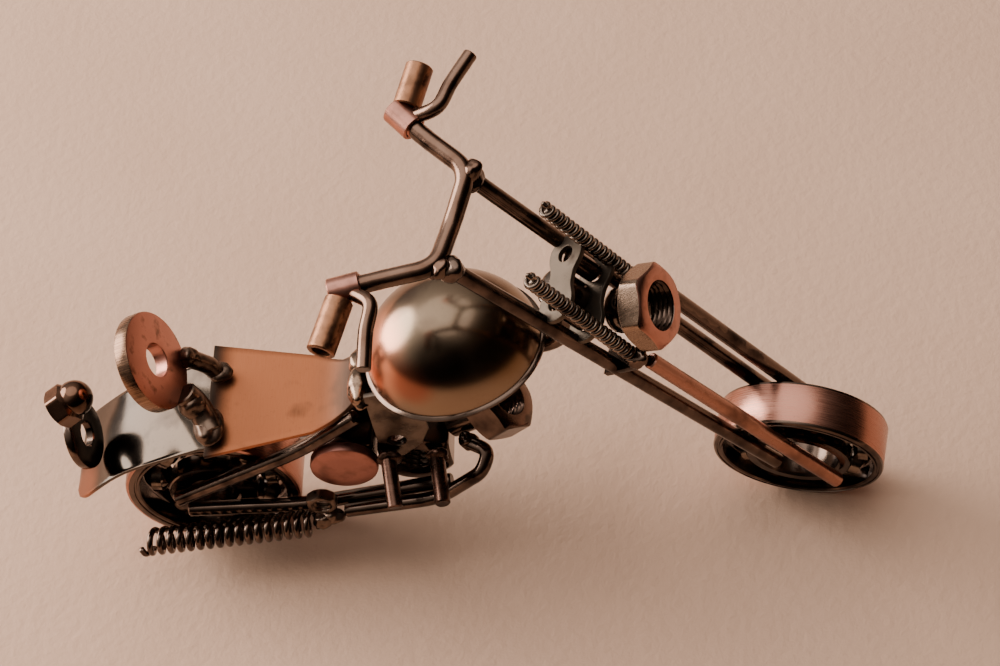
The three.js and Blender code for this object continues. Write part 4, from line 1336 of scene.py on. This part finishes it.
    def clamps(self, shop: Workshop) -> None:
        """Makes the chain-link clamp plates, their rollers and the steering pin.

        Args:
            shop: the workshop.
        """
        lobe, waist = 3.8, 2.7
        low, high = HEAD_TUBE_ENDS
        holes = [round_hole(self.link_u, side * self.link_half, self.link_hole) for side in (-1, 1)]
        for name, s in (("top", self.link_top + 0.5), ("bottom", low - 0.3 - 0.5)):
            plate = shop.outline([self.link_outline(lobe, waist), *holes], self.link_thick)
            shop.on_fork(
                f"link_plate_{name}", plate.moved(Matrix.Translation((0, 0, s))), [STEEL_SATIN],
                f"clamp_plate_{name}")
        for name, side in SIDES:
            roller = rod(
                (self.link_u, side * self.link_half, low),
                (self.link_u, side * self.link_half, self.link_top - 0.3), 1.9)
            shop.on_fork(f"roller_{name}", roller, [NICKEL_DARK], f"clamp_roller_{name}")
        high += 0.3
        pin = lathe([
            (0, low), (1.6, low), (1.6, high), (3.5, high), (3.7, high + 0.2),
            (3.7, high + 0.6), (3.4, high + 0.95), (2.6, high + 1.1), (0, high + 1.15)])
        shop.on_fork("steering_pin", pin, [NICKEL_BRIGHT], "steering_stem")

    def link_outline(self, lobe: float, waist: float) -> list[Pair]:
        """Outline of a chain link, two round lobes and a narrower waist.

        Args:
            lobe: lobe radius.
            waist: half width of the waist.

        Returns:
            The outline.
        """
        half = self.link_half
        blend = 1.2
        outline = []
        for a in angles(120):
            direction = Vector((math.cos(a), math.sin(a)))
            low, high = 0.5, half + lobe + 1
            for _ in range(24):
                r = (low + high) / 2
                x, y = direction.x * r, direction.y * r
                lobes = min(math.hypot(x, y - half), math.hypot(x, y + half)) - lobe
                bar = max(abs(x) - waist, abs(y) - half)
                h = max(blend - abs(lobes - bar), 0) / blend
                inside = min(lobes, bar) - h * h * blend / 4
                low, high = (r, high) if inside < 0 else (low, r)
            outline.append((self.link_u + direction.x * low, direction.y * low))
        return outline

    def lamp(self, shop: Workshop) -> None:
        """Makes the headlight nut, its collar and the bracket across the fork.

        Args:
            shop: the workshop.
        """
        dip = math.radians(self.lamp_dip_deg)
        aim = Vector((math.cos(dip), 0, -math.sin(dip)))
        face = Vector(self.lamp_face)
        tall = self.lamp_tall
        big = nut(self.lamp_across, tall, 4.1, 1.0)
        front = tall / 2 - 0.8
        big.marks = [
            1 if max(big.radii(f)) < 4.9 else 0 if all(big.points[i].z > front for i in f) else 2
            for f in big.faces]
        shop.on_fork(
            "lamp_nut", big.moved(placed(face - aim * tall / 2, aim, math.radians(25))),
            [COPPER_SATIN, NICKEL_DARK, LAMP_SIDE], "headlight_nut")
        length, r = self.collar_length, self.collar_r
        collar = lathe([
            (0, 0), (r - 1.3, 0), (r - 0.7, 0.25), (r - 0.25, 0.8), (r, 1.7), (r, length - 1.6),
            (r + 0.7, length - 1.4), (r + 1.05, length - 1.0), (r + 1.1, length - 0.5),
            (r + 0.9, length - 0.1), (r + 0.5, length), (0, length)])
        shop.on_fork(
            "lamp_collar", collar.moved(placed(face - aim * (tall + 0.3 + length), aim)), [NICKEL_BRIGHT],
            "headlight_collar")
        plate = shop.outline([[(-1.2, -9.0), (6.2, -9.0), (6.2, 9.0), (-1.2, 9.0)]], 1.2)
        bracket = plate.moved(Matrix.Translation((0, 0, 50.2 + 0.6)))
        for side in (-1, 1):
            bracket.add(bead((6.6, side * 7.3, 51.2), (1.9, 1.9, 1.7), 0.4, SEED + side))
        shop.on_fork("lamp_bracket", bracket, [NICKEL_DARK], "headlight_bracket")

    def build(self, shop: Workshop) -> None:
        """Makes the whole fork.

        Args:
            shop: the workshop.
        """
        for name, side in SIDES:
            self.legs(shop, name, side)
            self.springs(shop, name, side)
            self.controls(shop, name, side)
        self.handlebar(shop)
        self.clamps(shop)
        self.lamp(shop)


# ------------------------------------------------------------------ frame and engine
@dataclass
class Chassis:
    """Rods of the frame and the nuts that make the engine, in the motorcycle's axes."""

    rod: float = 1.5
    rail_y: float = 7.3
    wheel_z: float = 17.446
    exhaust_y: float = -10.5
    crank_at: Point = (42, 0, 25.5)
    gear_at: Point = (28.9, 0, 29.7)
    front_nut_at: Point = (59.2, 0, 35.4)
    rear_nut_at: Point = (38.6, 0, 43.2)
    cylinder_deg: float = 40.0
    stud_r: float = 3.0
    silencer: tuple[Point, Point] = ((-13.9, -12.2, 11.6), (20.6, -12.2, 15.4))

    def rods(self, shop: Workshop) -> None:
        """Makes the backbone, struts, rails and head tube.

        Args:
            shop: the workshop.
        """
        head = shop.datum.frame.inverted() @ shop.datum.head @ Vector((0, 0, 65.4))
        stop = head + (Vector((74.4, 0, 54.8)) - head).normalized() * 3.9
        path = smooth_path([(36.6, 0, 47.6), (61.0, 0, 51.0), (74.4, 0, 54.8), stop], 4)
        shape = tube(path, self.rod)
        shape.add(bead(stop, (1.7, 2.1, 1.9), 0.3))
        shop.on_frame("backbone_rod", shape, [NICKEL_DARK], "backbone")
        low, high = HEAD_TUBE_ENDS
        shop.make(
            "head_bush", pipe((0, 0, low), (0, 0, high), 3.6, 1.95), shop.datum.head, "frame", [NICKEL_DARK],
            ["head_tube"])
        for name, side in SIDES:
            y = side * self.rail_y
            strut = tube(smooth_path([
                (-6.5, y, self.wheel_z + 1.9), (21.1, y, 34.3), (33.5, side * 6.4, 43.2)], 5), self.rod)
            strut.add(bead((-5.9, y - side * 1.0, self.wheel_z + 1.6), (1.9, 1.2, 1.6), 0.35, SEED + side))
            shop.on_frame(f"strut_rod_{name}", strut, [NICKEL_DARK], f"rear_strut_{name}")
            rail = tube(
                smooth_path([(-5.3, y, self.wheel_z - 2.1), (18, y, 14.5), (48.4, y, 20.1)], 5), self.rod)
            shop.on_frame(f"rail_rod_{name}", rail, [NICKEL_DARK], f"frame_rail_{name}")

    def sides(self, shop: Workshop) -> None:
        """Makes the engine covers, pegs and ear plates.

        Args:
            shop: the workshop.
        """
        for name, side in SIDES:
            aim = (0, side, 0)
            cover = lathe([
                (0, -1.1), (6.4, -1.1), (6.6, -0.9), (6.6, 0.5), (6.45, 0.85), (6.0, 1.1), (3.5, 1.1),
                (0, 1.1)], 96)
            shop.on_frame(
                f"cover_disc_{name}",
                cover.moved(placed((self.gear_at[0], side * 8.3, self.gear_at[2]), aim)), [COPPER_DISC],
                f"engine_cover_{name}")
            rear = rod((37.6, side * 7.7, 31.4), (38.8, side * 17.4, 27.6), 1.5)
            rear.add(bead((37.75, side * 8.4, 31.1), (2.2, 1.3, 2.2), 0.4, SEED + side))
            shop.on_frame(f"rear_peg_{name}", rear, [PEG_PLATE], f"peg_rear_{name}")
            front = rod((46.6, side * 6.1, 28.9), (48.0, side * 17.4, 28.0), 1.5)
            front.add(bead((46.8, side * 7.1, 28.8), (2.2, 1.4, 2.2), 0.4, SEED - side))
            shop.on_frame(f"front_peg_{name}", front, [PEG_PLATE], f"peg_front_{name}")
            edge = [(36.2, 28.8), (40.6, 29.4), (44.6, 33.2), (46.6, 38.2), (46.4, 51.7), (36.2, 49.9)]
            plate = shop.outline([edge, round_hole(39.9, 34.8, 1.8)], 1.0)
            stand = Matrix.Translation((0, side * 6.3, 0)) @ Matrix.Rotation(math.pi / 2, 4, "X")
            shop.on_frame(f"ear_plate_{name}", plate.moved(stand), [STEEL_BROWN], f"engine_ear_{name}")

    def engine(self, shop: Workshop) -> None:
        """Makes the crankcase, gearbox and cylinders.

        Args:
            shop: the workshop.
        """
        across = (0, 1, 0)
        lift, lean = math.radians(self.cylinder_deg), 0.2
        front_aim = Vector((math.cos(lift), 0, math.sin(lift)))
        rear_aim = Vector((-math.sin(lean), 0, math.cos(lean)))
        crank, front_at, rear_at = Vector(self.crank_at), Vector(self.front_nut_at), Vector(self.rear_nut_at)
        front_top = front_at - front_aim * 3.55
        front_foot = crank + (front_top - crank).normalized() * 8.5
        rear_top = rear_at - rear_aim * 2.8
        for name, shape, finish, stands_for in (
                ("crank_nut", nut(14, 11, 3.2).moved(placed(crank, across)), NICKEL_DARK, "crankcase"),
                ("gear_nut", nut(11.6, 13.8, 3.0).moved(placed(self.gear_at, across)), NICKEL_DARK,
                 "gearbox"),
                ("front_cylinder_nut", nut(13, 6.5, 3.6).moved(placed(front_at, front_aim)), ENGINE_NUT,
                 "cylinder_front_nut"),
                ("front_cylinder_stud", rod(front_foot, front_top, self.stud_r), NICKEL_DARK,
                 "cylinder_front"),
                ("rear_cylinder_nut", nut(8, 5, 2.5).moved(placed(rear_at, rear_aim)), NICKEL_DARK,
                 "cylinder_rear_nut"),
                ("rear_cylinder_stud", rod(rear_top - rear_aim * 7.2, rear_top, self.stud_r), NICKEL_DARK,
                 "cylinder_rear")):
            shop.on_frame(name, shape, [finish], stands_for)

    def exhaust(self, shop: Workshop) -> None:
        """Makes the exhaust pipe, its spring, ring nut and weld.

        Args:
            shop: the workshop.
        """
        y = self.exhaust_y
        path = smooth_path([
            (52.4, -4.6, 29.7), (57.0, -7.6, 30.4), (55.4, y, 27.6), (45.8, y, 19.0), (26.8, y, 16.4)], 4)
        bent = tube(path, 1.4)
        bent.add(bead((53.0, -4.9, 29.9), (1.9, 1.6, 1.9), 0.4))
        shop.on_frame("exhaust_rod", bent, [NICKEL_DARK], "exhaust_pipe")
        start, end = (Vector(p) for p in self.silencer)
        length = (end - start).length
        wire = 0.62
        tail = tube(
            spline([(2.2, 0, 0.1), (1.9, -1.2, -0.6), (0.6, -2.2, -1.0), (-1.2, -2.0, -1.2)], 8), wire, 14)
        shop.coil(
            "silencer_coil", shop.datum.frame @ placed(start, end - start), "frame", NICKEL_DARK,
            {"Coil Radius": 2.28, "Wire Radius": wire, "Length": length, "Turns": 17.0, "Steps": 28},
            ["exhaust_spring"], tail)
        ring = nut(5.6, 2.4, 1.6, 0.8).moved(placed((22.9, -10.8, 20.9), (0, -1, 0)))
        shop.on_frame("ring_nut", ring, [WELD], "exhaust_ring_nut")
        weld = bead((24.1, -11.4, 16.2), (2.3, 1.6, 1.7), 0.35)
        weld.add(bead((22.2, -12.0, 15.8), (1.9, 1.7, 1.8), 0.35, SEED + 2))
        shop.on_frame("silencer_weld", weld, [WELD], "exhaust_weld")

    def build(self, shop: Workshop) -> None:
        """Makes the whole chassis.

        Args:
            shop: the workshop.
        """
        self.rods(shop)
        self.sides(shop)
        self.engine(shop)
        self.exhaust(shop)


# ------------------------------------------------------------------ bodywork
@dataclass
class Bodywork:
    """Tank, seat, fender, backrest and tail, in the motorcycle's axes."""

    tank_at: Point = (53.9, 0, 53.6)
    tank_half: Point = (16.8, 15.0, 15.5)
    tank_pitch_deg: float = 10.0
    tank_wall: float = 1.2
    tank_lip: float = 0.6
    tank_lip_height: float = 0.9
    seat_rear: float = 4.6
    seat_mid: float = 25.0
    seat_front: float = 34.5
    seat_top: float = 42.6
    seat_rise: float = 5.0
    seat_halves: tuple[float, float, float] = (13.0, 8.8, 4.2)
    seat_thick: float = 0.9
    fender_front: Pair = (5.4, 41.3)
    fender_tail: Pair = (-25.6, 24.9)
    fender_bow: float = 5.8
    fender_half: float = 10.0
    fender_corner: float = 3.0
    fender_thick: float = 0.8
    fender_ripple: float = 0.25
    backrest_lean_deg: float = 22.0
    tail_lean_deg: float = 12.0

    def tank(self, shop: Workshop) -> None:
        """Makes the pressed dome, its post and the weld at its rim.

        Args:
            shop: the workshop.
        """
        _, half_width, height = self.tank_half
        wall, rim = self.tank_wall / half_width, self.tank_lip / half_width
        lip = self.tank_lip_height / height
        steps = 26
        outside = [
            (math.cos(a), math.sin(a)) for a in (math.pi / 2 * i / steps for i in range(steps + 1))]
        start = math.sqrt(1 - lip * lip)
        above = [(r, h) for r, h in outside if h > lip * 1.6]
        inner = 1 - wall
        profile = [(inner, 0.0), (1 + rim * 0.5, -0.0), (1 + rim, lip * 0.25), (1 + rim, lip * 0.7),
                   (1 + rim * 0.4, lip * 0.95), (start, lip * 1.05), *above[:-1], (0.0, 1.0)]
        under = [(inner * r, inner * h) for r, h in outside[:-1]]
        shape = lathe([(0.0, inner), *reversed(under)][:-1] + profile, 112)
        shape.marks = [
            1 if all(shape.points[i].z < lip * 1.1 for i in f) else 0 for f in shape.faces]
        tilt = Matrix.Rotation(-math.radians(self.tank_pitch_deg), 4, "Y")
        scale = Matrix.Diagonal((*self.tank_half, 1))
        shop.on_frame(
            "tank_dome", shape.moved(Matrix.Translation(self.tank_at) @ tilt @ scale),
            [BRONZE_TANK, NICKEL_DARK], "fuel_tank", sharp_deg=50)
        post = rod((53.9, 0, 52.3), (53.9, 0, 67.0), 2.0)
        shop.on_frame("dome_post", post, [NICKEL_DARK], "tank_post")
        blob = bead((35.0, -3.0, 47.5), (2.4, 4.4, 1.9), 0.3, SEED, 24)
        blob.add(bead((34.6, 3.4, 47.2), (2.0, 3.0, 1.5), 0.3, SEED + 2))
        shop.on_frame("nose_weld", blob, [WELD_BRIGHT])

    def seat(self, shop: Workshop) -> None:
        """Makes the bent copper sheet of the seat.

        Args:
            shop: the workshop.
        """
        rear, mid, front = self.seat_rear, self.seat_mid, self.seat_front
        z, rise = self.seat_top, self.seat_rise
        rear_half, mid_half, nose_half = self.seat_halves
        stations = [(rear + (mid - rear) * i / 12, z) for i in range(13)]
        for i in range(1, 9):
            t = i / 8
            stations.append((curved(mid, mid + 6, front, t), curved(z, z + 0.3, z + rise, t)))
        grid = []
        for x, h in stations:
            if x < mid:
                half = rear_half + (mid_half - rear_half) * (x - rear + 1) / (mid - rear + 1)
            else:
                half = mid_half + (nose_half - mid_half) * (x - mid) / (front + 1 - mid)
            grid.append([Vector((x, half * (2 * j / 16 - 1), h)) for j in range(17)])
        shop.on_frame(
            "seat_sheet", bent_sheet(grid, self.seat_thick), [COPPER_BRUSHED], "seat", bevel_mm=0.18)

    def fender(self, shop: Workshop) -> None:
        """Makes the curved rear fender.

        Args:
            shop: the workshop.
        """
        front, tail = Vector(self.fender_front), Vector(self.fender_tail)
        outward = Vector((tail.y - front.y, front.x - tail.x)).normalized()
        crown = (front + tail) / 2 + outward * self.fender_bow
        rows, cols, corner, ripple = 32, 24, self.fender_corner, self.fender_ripple
        grid = []
        for i in range(rows + 1):
            t = 1 - i / rows
            p = curved(front, crown, tail, t)
            near = p.x - tail.x
            w = self.fender_half - (corner - math.sqrt(max(corner ** 2 - max(corner - near, 0) ** 2, 0.0)))
            grid.append([
                Vector((p.x, w * (2 * j / cols - 1), p.y + ripple * math.sin(p.x * 0.35 + j * 0.25) - ripple))
                for j in range(cols + 1)])
        shop.on_frame(
            "fender_sheet", bent_sheet(grid, self.fender_thick), [FENDER_PLATE], "rear_fender",
            bevel_mm=0.15)

    def backrest(self, shop: Workshop) -> None:
        """Makes the backrest washer and the welded posts that hold it.

        Args:
            shop: the workshop.
        """
        lean = math.radians(self.backrest_lean_deg)
        aim = (math.cos(lean), 0, math.sin(lean))
        disc = washer(9.5, 3.2, 2.8, 0.3)
        disc.marks = [1 if min(disc.radii(f)) > 9.3 else 0 for f in disc.faces]
        shop.on_frame(
            "backrest_disc", disc.moved(placed((-3.0, 0, 56.4), aim)), [COPPER_WASHER, WASHER_RIM],
            "backrest_washer")
        near = tube(spline([(6.4, -8.6, 44.0), (5.2, -6.2, 45.0), (3.6, -4.0, 47.4), (1.9, -3.2, 50.2)], 8),
                    2.5, 28, wobble=0.08)
        near.add(bead((5.6, -7.4, 44.6), (2.8, 4.0, 1.9), 0.25, SEED, 24))
        near.add(bead((3.2, -4.2, 47.6), (2.6, 3.0, 2.8), 0.25, SEED + 9, 24))
        shop.on_frame("weld_post_right", near, [WELD], "backrest_post_right")
        far = tube(spline([(6.6, 5.0, 43.9), (5.0, 5.4, 46.4), (3.0, 5.0, 49.0), (1.6, 5.0, 50.6)], 8),
                   1.8, 24, wobble=0.08)
        far.add(bead((6.6, 5.2, 44.2), (2.6, 2.2, 1.5), 0.3, SEED + 4))
        far.add(bead((2.2, 5.0, 50.2), (1.8, 2.0, 2.0), 0.3, SEED + 6))
        shop.on_frame("weld_post_left", far, [WELD], "backrest_post_left")

    def tail(self, shop: Workshop) -> None:
        """Makes the tail washer and the domed nut.

        Args:
            shop: the workshop.
        """
        lean = math.radians(self.tail_lean_deg)
        aim = (math.cos(lean), 0, math.sin(lean))
        disc = washer(6.8, 2.4, 1.7, 0.35).moved(placed((-21.2, -2.5, 37.4), aim))
        shop.on_frame("tail_disc", disc, [NICKEL_DARK], "taillight_washer")
        along = Vector((0.86, 0.3, 0.42)).normalized()
        root = Vector((-20.2, -2.6, 49.2)) - along * 3.6
        shape = self.domed_nut().moved(placed(root, along))
        shop.on_frame("tail_domed_nut", shape, [BRONZE_DOME], "taillight_nut")

    @staticmethod
    def domed_nut() -> Shape:
        """Hexagon with a dome above it and a blind hole below, about Z.

        Returns:
            The nut.
        """
        flat, tall, dome, sides = 3.7, 3.6, 3.5, 96
        land, hole, deep = flat * 0.93, 1.9, 4.6
        rings = [[Vector((0, 0, deep))]]
        under = ((hole, deep), (hole, 0.4), (hole + 0.3, 0.0), (land, 0.0))
        rings += [ring_of(r, z, sides) for r, z in under]
        for level in (0, 1):
            ring = []
            for a in angles(sides):
                r = hexagon(flat, a)
                drop = (r - land) * CHAMFER_SLOPE
                ring.append(Vector((r * math.cos(a), r * math.sin(a), tall - drop if level else drop)))
            rings.append(ring)
        middle = tall + 0.9
        low = -math.asin(0.6 / dome)
        for i in range(15):
            lat = low + (math.pi / 2 - low) * i / 15
            r = dome * math.cos(lat) * (0.97 if i == 0 else 1.0)
            rings.append(ring_of(r, middle + dome * math.sin(lat), sides))
        rings.append([Vector((0, 0, middle + dome))])
        return rings_to_shape(rings)

    def build(self, shop: Workshop) -> None:
        """Makes all the bodywork.

        Args:
            shop: the workshop.
        """
        self.tank(shop)
        self.seat(shop)
        self.fender(shop)
        self.backrest(shop)
        self.tail(shop)


# ------------------------------------------------------------------ stage
@dataclass(frozen=True)
class Studio:
    """Floor, lights and camera."""

    floor_m: float = 3.0
    azimuth_deg: float = 10.83
    elevation_deg: float = 54.01
    roll_deg: float = -12.75
    target_mm: tuple[float, float, float] = (57.17, 28.89, 17.5)
    distance_mm: float = 451.15
    lens_mm: float = 79.2
    sky_toward: Point = (-0.55, 0.35, 0.76)
    sky: tuple[tuple[float, str], ...] = (
        (0.0, "#1E1916"), (0.35, "#4E453F"), (0.6, "#B3A69B"), (1.0, "#FFF6EE"))
    paper: tuple[str, str] = ("#D2AC92", "#E0BBA2")

    def floor(self) -> None:
        """Lays the paper floor."""
        mesh = bpy.data.meshes.new("paper")
        h = self.floor_m / 2
        mesh.from_pydata([(-h, -h, 0), (h, -h, 0), (h, h, 0), (-h, h, 0)], [], [(0, 1, 2, 3)])
        paper = bpy.data.objects.new("paper", mesh)
        bpy.context.scene.collection.objects.link(paper)
        material = bpy.data.materials.new("cartridge_paper")
        material.use_nodes = True
        tree = material.node_tree
        shader = tree.nodes["Principled BSDF"]
        here = node(tree, "ShaderNodeTexCoord").outputs["Object"]
        soft = node(tree, "ShaderNodeTexNoise", {"Vector": here, "Scale": 22.0, "Detail": 4.0})
        fine = node(tree, "ShaderNodeTexNoise", {
            "Vector": here, "Scale": 420.0, "Detail": 4.0, "Roughness": 0.6})
        tone = node(tree, "ShaderNodeMix", {
            0: soft.outputs["Fac"], 6: linear(self.paper[0]), 7: linear(self.paper[1])}, data_type="RGBA")
        bump = node(tree, "ShaderNodeBump", {
            "Height": fine.outputs["Fac"], "Strength": 0.25, "Distance": MM})
        tree.links.new(tone.outputs[2], shader.inputs["Base Color"])
        tree.links.new(bump.outputs[0], shader.inputs["Normal"])
        shader.inputs["Roughness"].default_value = 0.9
        shader.inputs["Specular IOR Level"].default_value = 0.2
        mesh.materials.append(material)

    def camera(self, datum: Datum) -> None:
        """Sets up the camera.

        Args:
            datum: where the motorcycle stands.
        """
        az, el, roll = (math.radians(a) for a in (self.azimuth_deg, self.elevation_deg, self.roll_deg))
        back = Vector((math.sin(az) * math.cos(el), -math.cos(az) * math.cos(el), math.sin(el)))
        right = Vector((math.cos(az), math.sin(az), 0))
        up = back.cross(right)
        c, s = math.cos(roll), math.sin(roll)
        turn = Matrix((right * c + up * s, up * c - right * s, back)).transposed().to_4x4()
        target = datum.frame @ Vector(self.target_mm)
        data = bpy.data.cameras.new("camera")
        data.sensor_width = 36.0
        data.lens = self.lens_mm
        data.clip_start = 0.01
        camera = bpy.data.objects.new("camera", data)
        camera.matrix_world = Matrix.Translation(target + back * self.distance_mm * MM) @ turn
        bpy.context.scene.collection.objects.link(camera)
        bpy.context.scene.camera = camera

    def lamp(self, name: str, at: Point, size: float, watts: float, colour: str) -> None:
        """Hangs a soft round lamp that faces the motorcycle.

        Args:
            name: its name.
            at: its place in metres.
            size: its diameter in metres.
            watts: its power.
            colour: its colour.
        """
        data = bpy.data.lights.new(name, "AREA")
        data.shape = "DISK"
        data.size = size
        data.energy = watts
        data.color = linear(colour)[:3]
        light = bpy.data.objects.new(name, data)
        spot = Vector(at)
        light.location = spot
        light.rotation_euler = (Vector((0, 0, 0.03)) - spot).to_track_quat("-Z", "Y").to_euler()
        bpy.context.scene.collection.objects.link(light)

    def light(self) -> None:
        """Sets the lamps and the sky."""
        world = bpy.data.worlds.new("room")
        bpy.context.scene.world = world
        world.use_nodes = True
        tree = world.node_tree
        background = tree.nodes["Background"]
        around = node(tree, "ShaderNodeTexCoord").outputs["Generated"]
        toward = node(tree, "ShaderNodeVectorMath", {0: around, 1: self.sky_toward}, operation="DOT_PRODUCT")
        sky = node(tree, "ShaderNodeValToRGB", {0: toward.outputs["Value"]}, [
            (position, linear(colour)) for position, colour in self.sky])
        tree.links.new(sky.outputs[0], background.inputs["Color"])
        background.inputs["Strength"].default_value = 1.0
        self.lamp("key", (-0.75, 0.22, 0.36), 0.7, 13.0, "#FFF3EA")
        self.lamp("ceiling", (-0.2, 0.3, 1.3), 1.6, 8.0, "#FFF6F0")

    def build(self, datum: Datum) -> None:
        """Sets the whole stage.

        Args:
            datum: where the motorcycle stands.
        """
        self.camera(datum)
        self.floor()
        self.light()


def main() -> None:
    """Builds the stage and the motorcycle, sub-assembly by sub-assembly."""
    datum = Datum(frame["joints"])
    shop = Workshop(datum, Finishes(), Trees())
    Studio().build(datum)
    Bearing(
        end="rear", holder="frame", outer=17.5, shoulder=14.6, width=11.0, pitch=11.75, ball=3.0, balls=8,
        inner=8.85, bore=5.0, tread_reach=0.75).build(shop)
    Bearing(
        end="front", holder="fork", outer=16.5, shoulder=14.6, width=9.0, pitch=12.35, ball=2.25, balls=10,
        inner=10.1, bore=7.8).build(shop)
    Fork().build(shop)
    Chassis().build(shop)
    Bodywork().build(shop)


if __name__ == "__main__":
    main()
